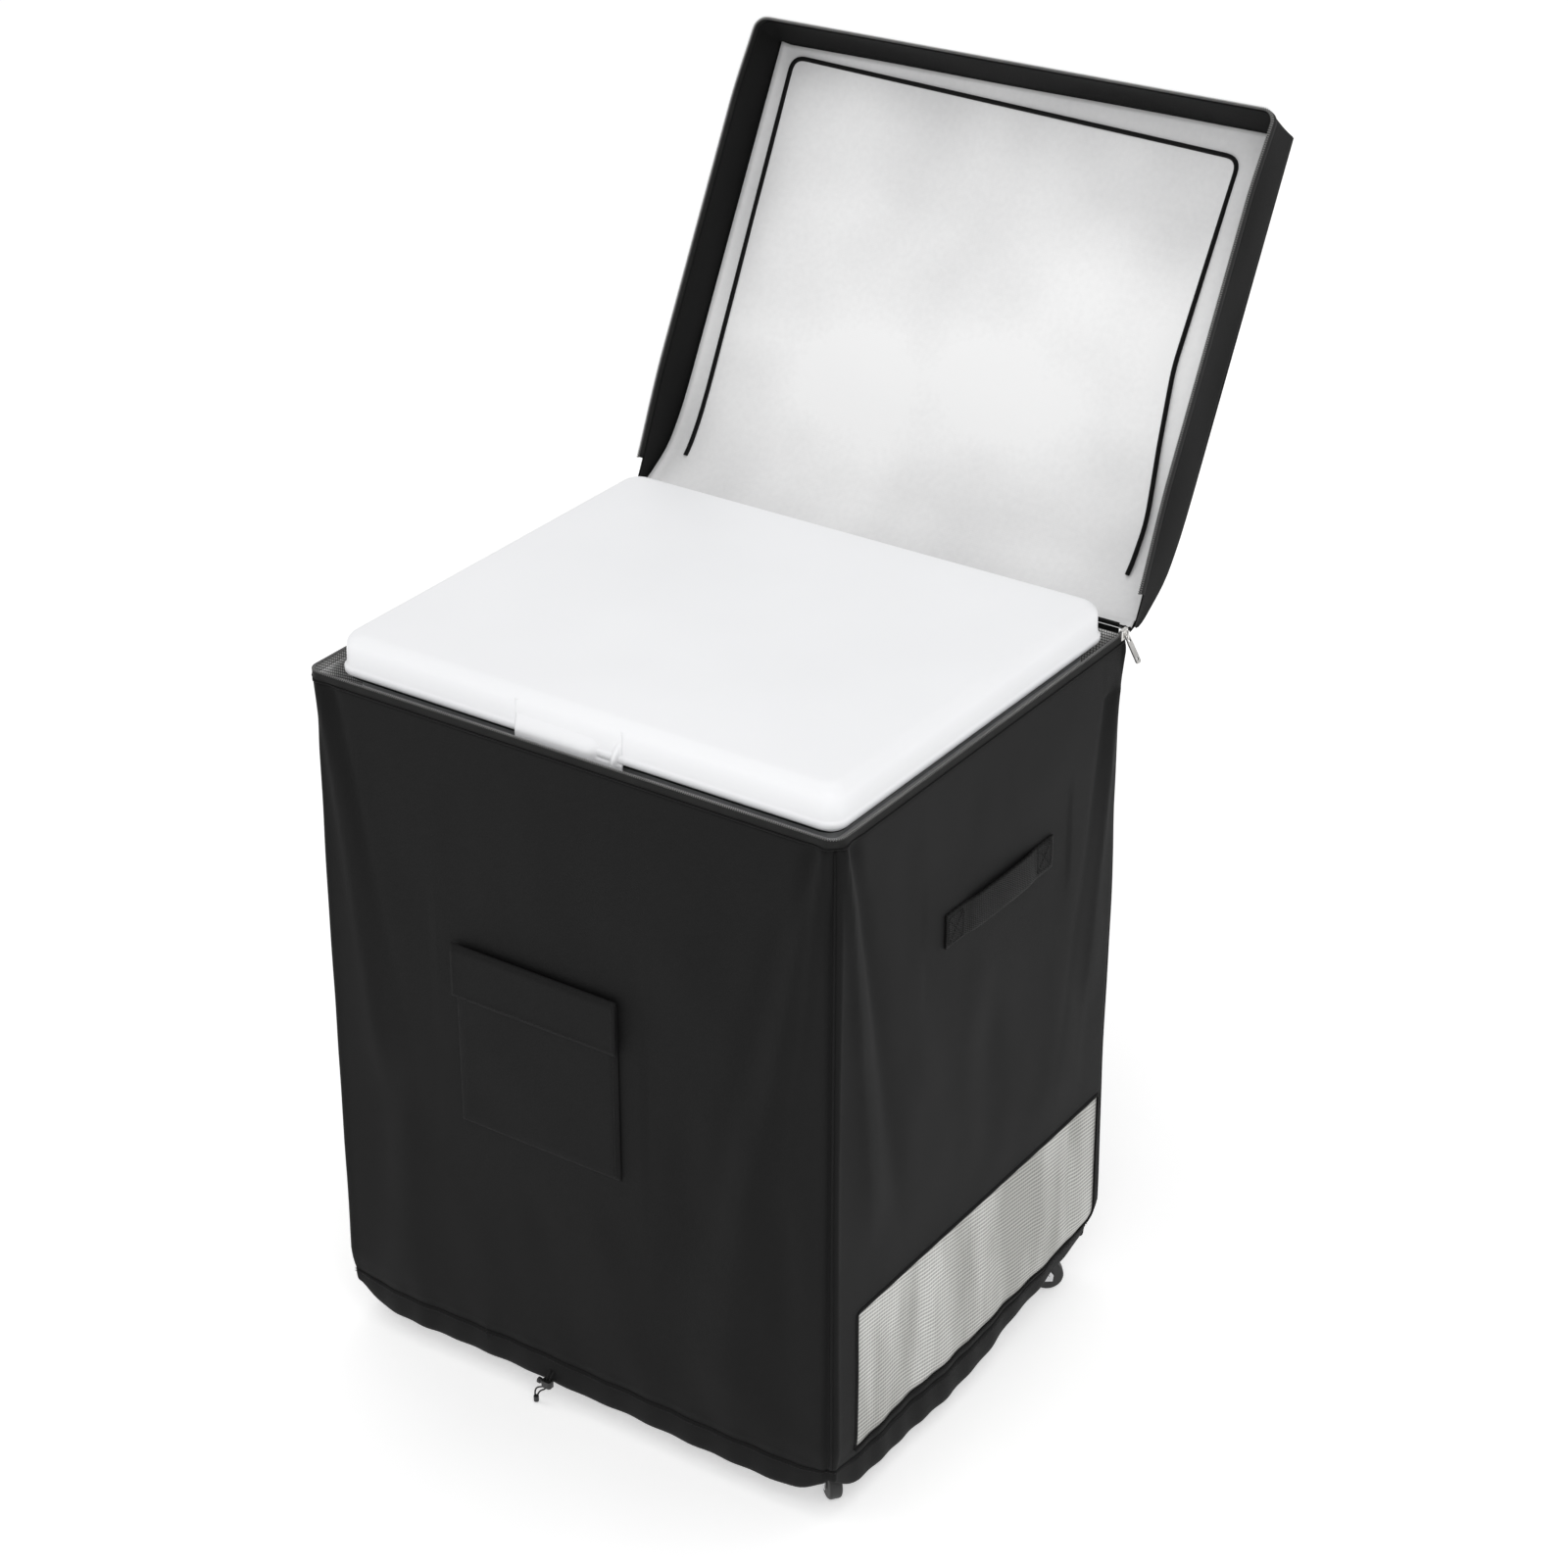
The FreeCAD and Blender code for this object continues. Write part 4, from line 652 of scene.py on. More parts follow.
def hem_droop():
    """How much longer the casing hangs below the vents at each column: slack between the casters."""
    along_y = np.interp(COL_Y, (-HALF_D, -0.10, 0.0, 0.10, 0.20, HALF_D), (0.62, 0.95, 0.72, 0.34, 0.02, -0.05))
    middle = 1.0 - ease(np.abs(COL_X), 0.10, HALF_W * 0.95)
    back = ease(COL_Y, HALF_D * 0.9, HALF_D)
    front_corner = bell(HALF_W - np.abs(COL_X), 0.030) * bell(COL_Y + HALF_D, 0.030)
    wave = 0.05 * np.sin(ARC * math.tau / 0.21) + 0.03 * np.sin(ARC * math.tau / 0.093 + 1.0)
    return (along_y + 0.6 * back * middle - 0.90 * front_corner) + wave * (1.0 - bell(np.abs(COL_Y) - HALF_D, 0.02))


DROOP = hem_droop()


def skirt_surface(heights, extra=0.0):
    """Points of the hanging cloth as (rows, columns, 3), with an extra outward offset."""
    heights = np.asarray(heights, float)
    depth = fold_depth(heights) + extra
    x = COL_X + OUT_X * depth
    y = COL_Y + OUT_Y * depth
    below = np.clip(VENT_LOW.z - heights, 0.0, None)[:, None]
    z = heights[:, None] - below * DROOP[None, :]
    z = np.maximum(z, 0.004)
    return np.stack([x, y, np.broadcast_to(z, x.shape)], -1)


def rows_between(*marks, step=CLOTH_STEP):
    """Heights from the first mark to the last that pass through every mark."""
    out = []
    for lo, hi in zip(marks, marks[1:]):
        count = max(1, int(round((hi - lo) / step)))
        out += list(np.linspace(lo, hi, count + 1)[:-1])
    return np.array(out + [marks[-1]])


def across_vent(place):
    return VENT_LOW.y - EDGE <= place <= VENT_HIGH.y + EDGE


def vent_columns(side):
    return [j for j in range(COUNT) if SIDE[j] == side and across_vent(PLACE[j])]


def outside_vent(heights):
    """A test that keeps the cells of the skirt's grid that lie outside both vents."""
    def keep(i, j):
        k = (j + 1) % COUNT
        z = (heights[i] + heights[i + 1]) / 2
        beside = SIDE[j] != SIDE[k] or SIDE[j] not in (1, 3) or not across_vent((PLACE[j] + PLACE[k]) / 2)
        return beside or not VENT_LOW.z - EDGE <= z <= VENT_HIGH.z + EDGE
    return keep


def make_skirt():
    heights = rows_between(HEM_TOP, VENT_LOW.z, VENT_HIGH.z, TAPE_Z)
    cloth = sheet_piece("skirt_cloth", skirt_surface(heights), ["black_oxford", "woven_lining", "black_binding"],
                        0.0014, closed=True, keep=outside_vent(heights), inner=1, rim=2)
    attach(cloth, "freezer", "black_oxford", "skirt_front", "skirt_right", "skirt_back", "skirt_left")
    surface = skirt_surface(rows_between(VENT_LOW.z, VENT_HIGH.z), -0.0006)
    vents = []
    for name, side in (("vent_knit_right", 1), ("vent_knit_left", 3)):
        vent = sheet_piece(name, surface[:, vent_columns(side)], ["grey_mesh"], 0.0007)
        attach(vent, "freezer", "grey_mesh", "vent_mesh")
        vents.append(vent)
    return cloth, vents


def make_vent_border():
    """Black binding laid round each vent."""
    surface = skirt_surface(rows_between(VENT_LOW.z, VENT_HIGH.z), 0.0003)
    for name, side in (("vent_binding_right", 1), ("vent_binding_left", 3)):
        grid = surface[:, vent_columns(side)]
        loop = np.vstack([grid[0], grid[1:, -1], grid[-1][::-1][1:], grid[1:-1, 0][::-1]])
        edge = tube(name, resample(loop, 0.005, True), 0.0022, "black_binding", closed=True, flat=0.55)
        attach(edge, "freezer", "black_binding")


def make_hem():
    """Casing round the foot: the cloth folded back on itself over the drawcord, drooping between casters."""
    turn = [(HEM_TOP + 0.001, 0.0004), (HEM_TOP - 0.002, 0.0010), (0.058, 0.0018), (0.052, 0.0022), (0.048, 0.0020),
            (HEM_Z + 0.0006, 0.0008), (HEM_Z, -0.0010), (HEM_Z + 0.0008, -0.0026), (0.050, -0.0036),
            (0.057, -0.0034), (HEM_TOP, -0.0020)]
    rows = [skirt_surface([z], extra)[0] for z, extra in turn]
    casing = sheet_piece("hem_band", np.array(rows)[::-1], ["black_oxford"], 0.0010, closed=True)
    attach(casing, "freezer", "black_oxford", "hem_casing", "hem_drawcord")
    seam = skirt_surface([HEM_TOP - 0.0015], 0.0021)[0]
    out = np.column_stack([OUT_X, OUT_Y, np.zeros(COUNT)])
    points = resample(seam, 0.0046, True)
    along = unit(np.roll(points, -1, 0) - points)
    nearest = np.array([out[np.argmin(((seam - p) ** 2).sum(1))] for p in points])
    row = chips("hem_stitches", points, along, np.cross(along, nearest), (0.0033, 0.0009, 0.0008), "thread")
    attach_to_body(row, "freezer")
    return casing


def make_corner_seams():
    """A crisp seam ridge down each corner of the skirt."""
    heights = rows_between(HEM_TOP + 0.004, TAPE_Z - 0.004, step=0.008)
    surface = skirt_surface(heights, 0.0004)
    for k in range(4):
        gap = np.abs((ARC - CORNERS[k] + TOTAL / 2) % TOTAL - TOTAL / 2)
        seam = tube("corner_seam_%d" % (k + 1), surface[:, np.argmin(gap)], 0.0013, "black_binding")
        attach(seam, "freezer", "black_binding")


def make_tick():
    """Short upright stitch mark beside the casing's cord exit."""
    points = [(-0.126, -HALF_D - 0.0012 - 0.0002 * i, 0.052 + 0.0045 * i) for i in range(6)]
    row = stitch_rows("hem_tick", [np.array(points)], (0, -1, 0), 0.0036, 0.0028, 0.0011)
    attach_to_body(row, "freezer")


def zip_columns():
    """Columns of the zip: left side from the back, front, right side to the back."""
    start = next(j for j in range(COUNT) if SIDE[j] == 3)
    order = [(start + i) % COUNT for i in range(COUNT)]
    return [j for j in order if SIDE[j] not in (2, 1.5, 2.5)]


def make_skirt_zip():
    picked = zip_columns()
    heights = [TAPE_Z - 0.002, TAPE_Z + 0.001, TAPE_Z + 0.005, RIM_Z - 0.0012, RIM_Z - 0.0005]
    outs = [0.0002, 0.0010, 0.0008, 0.0008, 0.0004]
    rows = np.array([skirt_surface([z], extra)[0][picked] for z, extra in zip(heights, outs)])
    tape = sheet_piece("skirt_zip", rows, ["zip_tape", "woven_lining"], 0.0015, inner=1)
    attach(tape, "freezer", "zip_tape", "skirt_zip_tape")
    line = skirt_surface([RIM_Z - 0.0012], -0.0008)[0][picked]
    points = resample(line, TOOTH_PITCH)
    along = unit(np.gradient(points, axis=0))
    teeth = chips("skirt_zip_teeth", points, np.cross(along, (0, 0, 1.0)), along, TOOTH, "zip_teeth")
    attach(teeth, "freezer", "zip_tape")
    seam = skirt_surface([TAPE_Z - 0.001], 0.0012)[0][picked]
    welt = tube("skirt_zip_welt", resample(seam, WELT_STEP), 0.0012, "black_binding")
    attach(welt, "freezer", "black_binding")


# ---------------------------------------------------------------- flap, drawn shut and then turned open
def opened(points):
    """Turns points of the shut flap about the hinge to where it stands open, its free end drawn in a little."""
    points = np.asarray(points, float)
    share = np.clip((HALF_D - points[..., 1]) / (2 * HALF_D), 0.0, 1.0)
    left = (HALF_W - points[..., 0]) / (2 * HALF_W)
    y = points[..., 1] - HALF_D + share * END_SHORT * (0.4 + 1.2 * left)
    z = points[..., 2] - RIM_Z
    x = points[..., 0] - END_NARROW * share
    c, s = math.cos(FLAP_TURN), math.sin(FLAP_TURN)
    return np.stack([x, HALF_D + y * c + z * s, RIM_Z - y * s + z * c], -1)


def roof_profile():
    """Side line of the shut flap's top as (y, z), from the heel at the hinge to the front shoulder."""
    top = RIM_Z + FLAP_DEPTH
    return softened([(HALF_D, RIM_Z + ZIP_GAP), (HALF_D, RIM_Z + FLAP_HEEL), (HALF_D - FLAP_RISE, top), (0.0, top),
                     (ROOF_FRONT, top)], 0.2, 92)


PROFILE = roof_profile()
PANEL_X = HALF_W - 0.0015


def roof_height(y):
    order = np.argsort(PROFILE[:, 0])
    return np.interp(y, PROFILE[order, 0], PROFILE[order, 1])


def roof_sheet(across, drop, wave, seed):
    """The roof as a grid of shut points: rows along the profile, columns across, dropped by an amount and waved."""
    x, y = np.meshgrid(across, PROFILE[:, 0])
    z = np.meshgrid(across, PROFILE[:, 1])[1]
    tangent = unit(np.gradient(PROFILE, axis=0))
    ny = -tangent[:, 1:]
    nz = tangent[:, :1]
    sign = np.where(nz < 0, -1.0, 1.0)
    ny, nz = ny * sign, nz * sign
    edge = ease(np.abs(x), HALF_W - 0.016, HALF_W - 0.001)
    points = np.stack([x, y, np.zeros_like(x)], -1)
    soft = ripple(points * np.array([1.0, 0.8, 1.0]), 5.0, seed) * 0.7 + ripple(points, 13.0, seed + 4) * 0.3
    calm = ease(HALF_W - np.abs(x), 0.0, 0.05) * ease(y - ROOF_FRONT, 0.0, 0.05)
    calm = calm * ease(HALF_D - y, 0.0, 0.08)
    down = drop + 0.0035 * edge ** 2 + wave * soft * calm
    return np.stack([x, y - ny * down, z - nz * down], -1)


def make_flap_panel():
    across = np.linspace(-PANEL_X, PANEL_X, 120)
    panel = sheet_piece("flap_top", opened(roof_sheet(across, 0.0, 0.0022, 5.0)), ["black_oxford"], 0.0013)
    attach(panel, "flap", "black_oxford", "flap_panel")
    inner = np.linspace(-PANEL_X + 0.0016, PANEL_X - 0.0016, 120)
    lining = sheet_piece("flap_silver", opened(roof_sheet(inner, 0.0042, 0.0052, 5.0)), ["silver_lining"], 0.0009,
                         flip=True)
    attach(lining, "flap", "silver_lining", "flap_lining")
    return panel, lining


def wall_corner(centre_x, start):
    """Points round one front corner of the flap's wall, from a starting angle."""
    points = []
    for i in range(1, 10):
        c, s = math.cos(start + i * math.pi / 20), math.sin(start + i * math.pi / 20)
        points.append((centre_x + CORNER_R * c, CORNER_R - HALF_D + CORNER_R * s, c, s))
    return points


def wall_path():
    """Plan of the flap's wall, (x, y, outward x, outward y), from the back left round to the back right."""
    a = HALF_W - CORNER_R
    side = np.linspace(HALF_D - 0.002, CORNER_R - HALF_D, 96)
    path = [(-HALF_W, y, -1, 0) for y in side]
    path += wall_corner(-a, math.pi)
    path += [(x, -HALF_D, 0, -1) for x in np.linspace(-a, a, 112)]
    path += wall_corner(a, -math.pi / 2)
    path += [(HALF_W, y, 1, 0) for y in side[::-1]]
    return np.array(path, float)


WALL = wall_path()


def wall_surface(shares, extra=0.0):
    """Rows of the wall from the shoulder (share 0) to the free edge (share 1), as shut points."""
    x, y, nx, ny = WALL.T
    sideness = ease(np.abs(nx), 0.2, 1.0)
    length = ease(HALF_D - y, 0.0, 0.16) * ease(y + HALF_D, -0.02, 0.10)
    right = nx > 0
    bow = np.where(right, 0.001, -0.001) * length * sideness
    tuck = np.where(right, 0.004, -0.006) * length * sideness
    top = roof_height(y)
    bottom = RIM_Z + ZIP_GAP / 2 + 0.0102 - bow
    bottom = np.where(y > HALF_D - 0.04, np.minimum(bottom, top - 0.004), bottom)
    rows = []
    for share in shares:
        shoulder = 0.0045 * (1.0 - ease(share, 0.0, 0.10))
        lean = np.clip(ROOF_FRONT - y, 0.0, None) * (1.0 - share - 0.12 * math.sin(math.pi * share))
        swell = 0.0016 * np.sin(np.pi * share) * np.sin(np.arange(1, len(x) + 1) * 0.11)
        inward = shoulder + tuck * share - swell - extra
        z = top - (top - bottom) * share - 0.0008 * (1.0 - share)
        rows.append(np.stack([x - nx * inward, y - ny * inward + lean, z], -1))
    return np.array(rows)


def make_flap_walls():
    shares = np.concatenate([[0.0, 0.03, 0.07], np.linspace(0.12, 1.0, 14)])
    walls = sheet_piece("flap_wall_cloth", opened(wall_surface(shares)[::-1]), ["black_oxford", "oxford_inner"],
                        0.0013, inner=1)
    attach(walls, "flap", "black_oxford", "flap_walls")
    keep = slice(6, len(WALL) - 6)
    tape_rows = []
    for fall, extra in ((-0.0015, 0.0006), (0.002, 0.0009), (0.006, 0.0006), (0.0095, 0.0004), (0.0102, 0.0)):
        row = wall_surface([1.0], extra)[0]
        row[:, 2] -= fall
        tape_rows.append(row[keep])
    tape = sheet_piece("flap_zip", opened(np.array(tape_rows)[::-1]), ["zip_tape"], 0.0013)
    attach(tape, "flap", "zip_tape", "flap_zip_tape")
    line = wall_surface([1.0])[0][keep]
    line[:, 2] -= 0.0098
    points = resample(line, TOOTH_PITCH)
    out = np.cross(unit(np.gradient(points, axis=0)), (0, 0, 1.0))
    turned = opened(points)
    along_open = unit(np.gradient(turned, axis=0))
    out_open = opened(points + out * 0.001) - turned
    teeth = chips("flap_zip_teeth", turned, out_open, along_open, TOOTH, "zip_teeth")
    attach(teeth, "flap", "zip_tape")
    welt_line = wall_surface([0.0], 0.0008)[0]
    welt_line[:, 2] += 0.0004
    welt = tube("flap_shoulder_welt", resample(opened(welt_line), WELT_STEP), 0.0016, "black_binding")
    attach(welt, "flap", "black_binding")
    return walls, tape


def make_flap_piping():
    """Bound seam standing on the lining: up one side, round under the free edge, down the other."""
    left, right = -HALF_W + 0.026, HALF_W - 0.056
    back = HALF_D - 0.052
    front_left, front_right = ROOF_FRONT + 0.014, ROOF_FRONT + 0.032
    bend = 0.016
    corners = [(left + 0.004, back), (left + 0.002, back - 0.14), (left - 0.003, front_left),
               (right + 0.004, front_right), (right - 0.004, 0.0), (right + 0.004, back - 0.14),
               (right + 0.014, back - 0.06), (right + 0.014, back)]
    line = np.array(corners)
    path = [line[0]]
    for before, here, after in zip(line, line[1:], line[2:]):
        enter = here + unit(before - here) * bend
        leave = here + unit(after - here) * bend
        path += [(1 - t) ** 2 * enter + 2 * t * (1 - t) * here + t * t * leave for t in np.linspace(0, 1, 8)]
    path = resample(np.array([(*p, 0.0) for p in path + [line[-1]]]), WELT_STEP)
    path[:, 2] = roof_height(path[:, 1]) - 0.0066
    bar = tube("flap_seam_piping", opened(path), 0.0026, "black_binding", sides=10)
    attach(bar, "flap", "black_binding", "flap_piping")


def make_hinge_cloth():
    """The seam strip at the back rim: one cloth from the skirt's back over the rim to the flap's heel."""
    across = np.linspace(-HALF_W + CORNER_R, HALF_W - CORNER_R, 90)
    heel = opened(np.array([(0.0, HALF_D + 0.0006, RIM_Z + h) for h in (0.0035, 0.007, 0.011, 0.015)]))[:, 1:]
    line = [(HALF_D + 0.0008, TAPE_Z - 0.006), (HALF_D + 0.0010, TAPE_Z), (HALF_D + 0.0008, RIM_Z - 0.004),
            (HALF_D + 0.0012, RIM_Z - 0.001), (HALF_D + 0.0030, RIM_Z + 0.0003), *[tuple(p) for p in heel]]
    rows = np.array([[(x, y, z) for x in across] for y, z in line])
    strip = sheet_piece("hinge_cloth", rows, ["black_binding"], 0.0010)
    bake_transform(strip)
    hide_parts("hinge_seam_strip")


# ---------------------------------------------------------------- pocket, straps
def sew_pocket(name, body, low, high, head, y_head, y_foot):
    """Stitches down, along and up a cloth's edges, with their own depth at head and foot."""
    inset = 0.004
    left, right, foot = low.x + inset, high.x - inset, low.z + inset
    loop = np.array([(left, y_head, head), (left, y_foot, foot), (right, y_foot, foot), (right, y_head, head)])
    rows = stitch_rows(name, [loop], (0, -1, 0), 0.0040, 0.0029, 0.0008)
    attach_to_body(rows, body)


def make_pocket():
    x0, x1 = POCKET_LOW.x, POCKET_HIGH.x
    z0, z1 = POCKET_LOW.z, POCKET_HIGH.z
    face = -HALF_D
    depth = face - POCKET_LOW.y
    xs = np.linspace(x0, x1, 62)
    zs = np.linspace(z0, z1, 64)
    grid_x, grid_z = np.meshgrid(xs, zs)
    rim = np.minimum(np.minimum(grid_x - x0, x1 - grid_x), grid_z - z0)
    lift = ease(rim, 0.0, 0.010)
    mouth = ease(grid_z, z1 - 0.09, z1)
    puff = 0.0020 + (depth - 0.0034) * lift * (0.55 + 0.35 * mouth)
    points = np.stack([grid_x, np.zeros_like(grid_x), grid_z], -1)
    puff += 0.0011 * ripple(points, 14.0, 2.0) * lift
    grid = np.stack([grid_x, face - puff, grid_z], -1)
    body = sheet_piece("pocket_patch", grid, ["black_oxford"], 0.0011)
    attach(body, "freezer", "black_oxford", "pocket_body")
    seam_y = face - 0.0052
    sew_pocket("pocket_stitches", "freezer", POCKET_LOW, POCKET_HIGH, z1 - 0.004, seam_y, seam_y)
    return body


def make_pocket_flap():
    low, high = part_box("pocket_flap")
    xs = np.linspace(low.x, high.x, 60)
    zs = np.linspace(low.z, high.z, 22)
    grid_x, grid_z = np.meshgrid(xs, zs)
    points = np.stack([grid_x, np.zeros_like(grid_x), grid_z], -1)
    fall = ease(high.z - grid_z, 0.0, 0.05)
    y = (low.y + high.y) / 2 - 0.0004 - 0.0005 * fall + 0.0008 * ripple(points, 16.0, 6.0) * fall
    y = np.where(high.z - grid_z < 0.008, y + 0.0022 * ease(0.008 - (high.z - grid_z), 0.0, 0.008), y)
    cover = sheet_piece("pocket_flap_cloth", np.stack([grid_x, y, grid_z], -1), ["black_oxford"], 0.0010)
    attach(cover, "pocket_flap_body", "black_oxford", "pocket_flap")
    seam_y = (low.y + high.y) / 2 - 0.0024
    sew_pocket("pocket_flap_stitches", "pocket_flap_body", low, high, high.z - 0.006, seam_y, seam_y - 0.0004)
    return cover


def strap_line():
    """Side line of a strap as (out from the skirt, along), softened at its bends."""
    low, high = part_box("handle_straps")
    y0, y1 = low.y, high.y
    sewn, free, lifted = 0.0012, 0.034, 0.052
    gap = (high.x - HALF_W - 2 * sewn) * 0.42
    return softened([(sewn, y0), (sewn, y0 + free), (gap, y0 + lifted), (gap + 0.0006, (y0 + y1) / 2),
                     (gap, y1 - lifted), (sewn, y1 - free), (sewn, y1)], 0.22, 90)


def make_strap(name, sign):
    low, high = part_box("handle_straps")
    middle = (low.z + high.z) / 2
    half = (high.z - low.z) / 2
    line = strap_line()
    tilt = -0.01575
    centre_y = (low.y + high.y) / 2
    rows = []
    for share in np.linspace(-1, 1, 13):
        crown = 0.0007 * (1.0 - share ** 2)
        z = middle + share * (half - 0.001) + tilt * (line[:, 1] - centre_y)
        rows.append(np.stack([sign * (HALF_W + line[:, 0] + 0.0011 + crown), line[:, 1], z], -1))
    strap = sheet_piece(name, np.array(rows), ["black_webbing"], 0.0022, flip=sign < 0)
    attach(strap, "freezer", "black_webbing", "handle_straps")
    paths = []
    for end, way in ((low.y, 1), (high.y, -1)):
        y0, y1 = end + way * 0.004, end + way * 0.031
        z0, z1 = middle - half + 0.005, middle + half - 0.005
        x = sign * (HALF_W + 0.0034)
        box = [(x, y0, z0), (x, y1, z0), (x, y1, z1), (x, y0, z1), (x, y0, z0)]
        paths += [np.array(box), np.array([box[0], box[2]]), np.array([box[1], box[3]])]
    rows = stitch_rows(name + "_stitches", paths, (sign, 0, 0), 0.0036, 0.0029, 0.0010)
    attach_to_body(rows, "freezer")


# ---------------------------------------------------------------- drawcord
def nurbs_curve(name, points, radius, material):
    data = bpy.data.curves.new(name, "CURVE")
    data.dimensions = "3D"
    data.bevel_depth = radius
    data.bevel_resolution = 4
    data.resolution_u = 12
    data.use_fill_caps = True
    spline = data.splines.new("NURBS")
    spline.points.add(len(points) - 1)
    for knot, point in zip(spline.points, points):
        knot.co = (*point, 1.0)
    spline.order_u = 3
    spline.use_endpoint_u = True
    data.materials.append(MAT[material])
    obj = bpy.data.objects.new(name, data)
    bpy.context.scene.collection.objects.link(obj)
    return obj


def make_drawcord():
    for name, node, points, length in (("cord_strand_a", "drawcord_strand_a", CORD_A, 0.0435),
                                       ("cord_strand_b", "drawcord_strand_b", CORD_B, 0.0445)):
        strand = nurbs_curve(name, points, CORD_DIAMETER / 2, "drawcord")
        attach(strand, "freezer", "drawcord", node)


# ---------------------------------------------------------------- freezer lid
def lid_ring(inset, z):
    """One closed ring of the lid's rounded plan, inset from its outline."""
    low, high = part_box("lid_shell")
    x0, x1 = low.x + inset, high.x - inset
    y0, y1 = low.y + inset, high.y - inset
    r = max(0.004, 0.020 - inset * 0.3)
    ring = []
    for cx, cy, start in ((x1 - r, y0 + r, -90), (x1 - r, y1 - r, 0), (x0 + r, y1 - r, 90), (x0 + r, y0 + r, 180)):
        for i in range(21):
            t = math.radians(start + 4.5 * i)
            ring.append((cx + r * math.cos(t), cy + r * math.sin(t), z))
    return np.array(ring)


def make_lid():
    """Moulded lid: softly crowned top, rolled shoulder, a step above a small lower lip."""
    z0, z1 = (corner.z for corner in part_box("lid_shell"))
    rings = [(0.0040, z0 + 0.0006), (0.0022, z0), (0.0008, z0 + 0.0010), (0.0, z0 + 0.0030), (0.0, z0 + 0.0075),
             (0.0010, z0 + 0.0090), (0.0022, z0 + 0.0105), (0.0024, z0 + 0.020), (0.0026, z1 - 0.0165)]
    radius = 0.014
    for i in range(1, 12):
        t = math.radians(90 * i / 11)
        rings.append((0.0026 + radius * (1 - math.cos(t)), z1 - 0.0165 + (radius + 0.0005) * math.sin(t)))
    top = z1 - 0.0020
    for inset, rise in ((0.026, 0.0003), (0.036, 0.0006), (0.055, 0.0010), (0.09, 0.0014), (0.14, 0.0017),
                        (0.20, 0.0019)):
        rings.append((inset, top + rise))
    grid = np.array([lid_ring(inset, z) for inset, z in rings])
    rows, cols = grid.shape[:2]
    faces = sheet_faces(rows, cols, closed=True)
    faces.append(tuple((rows - 1) * cols + j for j in range(cols)))
    lid = new_piece("lid_cap", grid.reshape(-1, 3), faces, ["white_enamel"])
    thicken(lid, 0.0016)
    attach(lid, "lid", "white_enamel", "lid_shell", "lid_foam")


def make_grip():
    """Moulded grip under the lid's front edge: a stepped left end and a scooped right end."""
    low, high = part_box("lid_grip")
    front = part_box("lid_shell")[0].y
    xs = np.linspace(low.x, high.x, 90)
    zs = np.linspace(low.z + 0.0010, high.z, 40)
    grid_x, grid_z = np.meshgrid(xs, zs)
    v = (grid_z - low.z) / (high.z - low.z)
    seam = high.x - 0.004 - 0.008 * (1.0 - v) ** 1.6
    out = 0.0058 * (1.0 - ease(v, 0.42, 0.80)) - 0.0016 * ease(v, 0.55, 0.80)
    scoop = bell(grid_x - (seam - 0.014), 0.011) * (1.0 - ease(v, 0.60, 1.0))
    out -= 0.0075 * scoop
    out += 0.0034 * bell(grid_x - seam, 0.0045) * (1.0 - ease(v, 0.6, 1.0))
    left = ease(grid_x - low.x, 0.0, 0.0025)
    right = 1.0 - ease(grid_x, seam + 0.001, seam + 0.004)
    out = out * left * right
    y = front + 0.0018 - out
    y = np.where(grid_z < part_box("lid_shell")[0].z, np.minimum(y, front - 0.0004), y)
    body = sheet_piece("lid_handle", np.stack([grid_x, y, grid_z], -1), ["white_plastic"], 0.0030)
    attach(body, "lid", "white_plastic", "lid_grip")


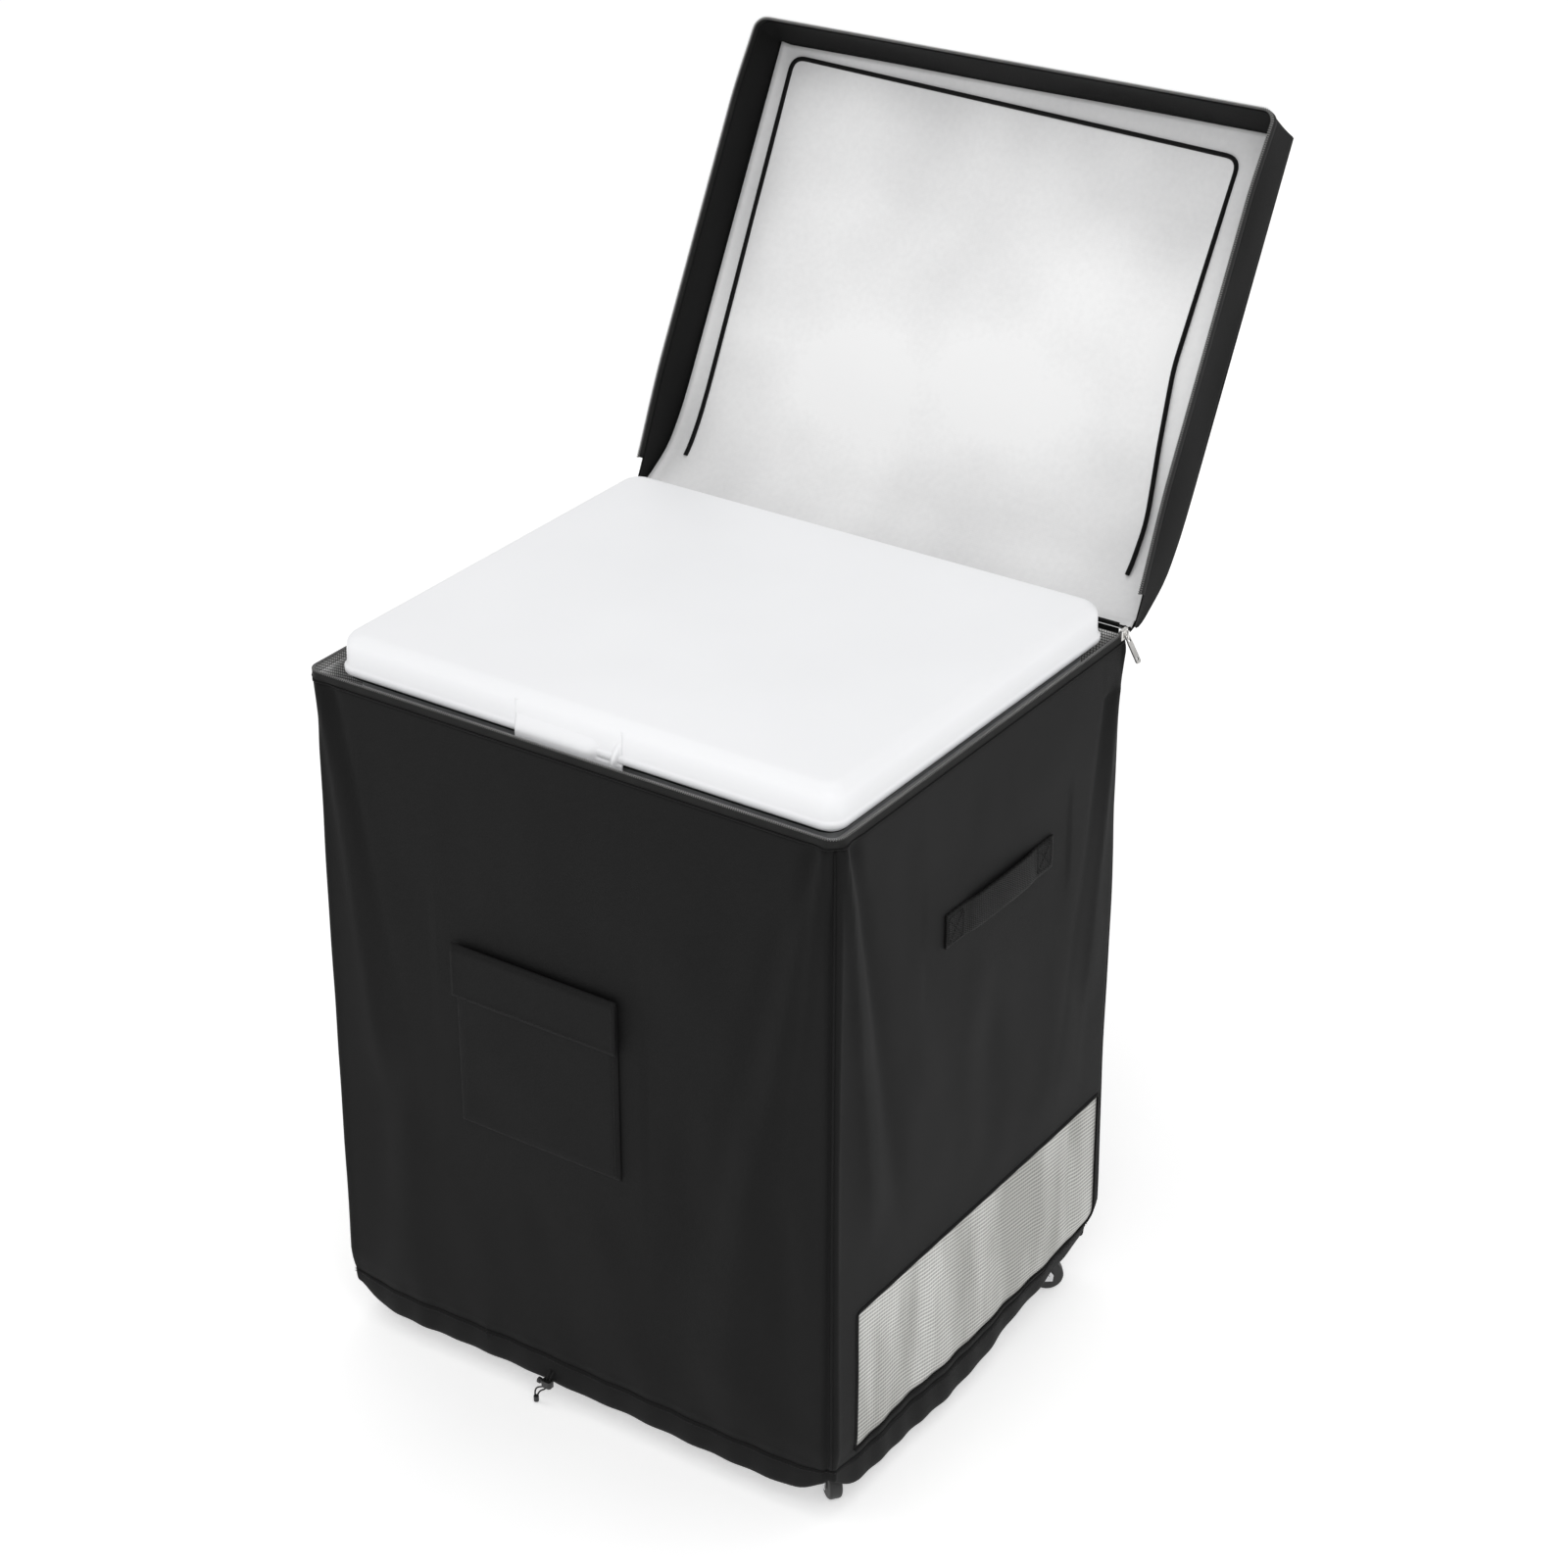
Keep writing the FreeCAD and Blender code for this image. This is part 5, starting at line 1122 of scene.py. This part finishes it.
def make_gasket():
    """Black bellows seal under the lid's edge."""
    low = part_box("lid_gasket")[0]
    lid_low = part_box("lid_shell")[0].z
    rings = ((0.008, lid_low - 0.0002), (0.0050, lid_low - 0.0012), (0.0070, lid_low - 0.0026),
             (0.0052, lid_low - 0.0042), (0.0075, lid_low - 0.0056), (0.0120, low.z + 0.0003),
             (0.0200, low.z + 0.0002), (0.0220, low.z + 0.003), (0.0215, lid_low - 0.0002))
    grid = np.array([lid_ring(inset, z) for inset, z in rings])
    seal = sheet_piece("lid_seal", grid[::-1], ["gasket_rubber"], 0.0009, closed=True)
    attach(seal, "lid", "gasket_rubber", "lid_gasket")


# ---------------------------------------------------------------- studio
def make_stage():
    white = (1.0, 1.0, 1.0, 1.0)
    s = Shader("studio_floor", 0.7, Specular_IOR_Level=0.2, Emission_Color=white, Emission_Strength=0.40)
    s.colour(s.ramp(s.clouds(3.0), (0.90, 0.90, 0.90), (0.93, 0.93, 0.93)))
    MAT["studio_floor"] = s.material
    size = 60.0
    floor = new_piece("studio_floor", [(-size, -size, 0), (size, -size, 0), (size, size, 0), (-size, size, 0)],
                      [(0, 1, 2, 3)], ["studio_floor"])
    world = bpy.data.worlds.new("studio")
    world.use_nodes = True
    world.node_tree.nodes["Background"].inputs[0].default_value = white
    world.node_tree.nodes["Background"].inputs[1].default_value = 0.66
    bpy.context.scene.world = world
    for name, place, aim, size, power in (("key", (1.9, -2.2, 2.9), (0, 0, 0.5), 1.8, 24.0),
                                          ("fill", (-2.6, -1.6, 2.0), (0, 0, 0.5), 2.2, 7.0),
                                          ("top", (0.0, 0.3, 3.4), (0, 0, 0.8), 2.4, 15.0)):
        data = bpy.data.lights.new(name, "AREA")
        data.size = size
        data.energy = power
        light = bpy.data.objects.new(name, data)
        light.location = place
        light.rotation_euler = (Vector(aim) - Vector(place)).to_track_quat("-Z", "Y").to_euler()
        bpy.context.scene.collection.objects.link(light)
    bpy.context.scene.view_settings.view_transform = "Standard"


def main():
    make_materials()
    make_camera()
    make_drawcord()
    finish_cad_nodes()
    skirt, vents = make_skirt()
    make_vent_border()
    hem = make_hem()
    make_corner_seams()
    make_tick()
    make_skirt_zip()
    panel, lining = make_flap_panel()
    walls, tape = make_flap_walls()
    make_flap_piping()
    make_hinge_cloth()
    pocket = make_pocket()
    cover = make_pocket_flap()
    make_strap("strap_right", 1.0)
    make_strap("strap_left", -1.0)
    make_lid()
    make_grip()
    make_gasket()
    make_stage()


main()
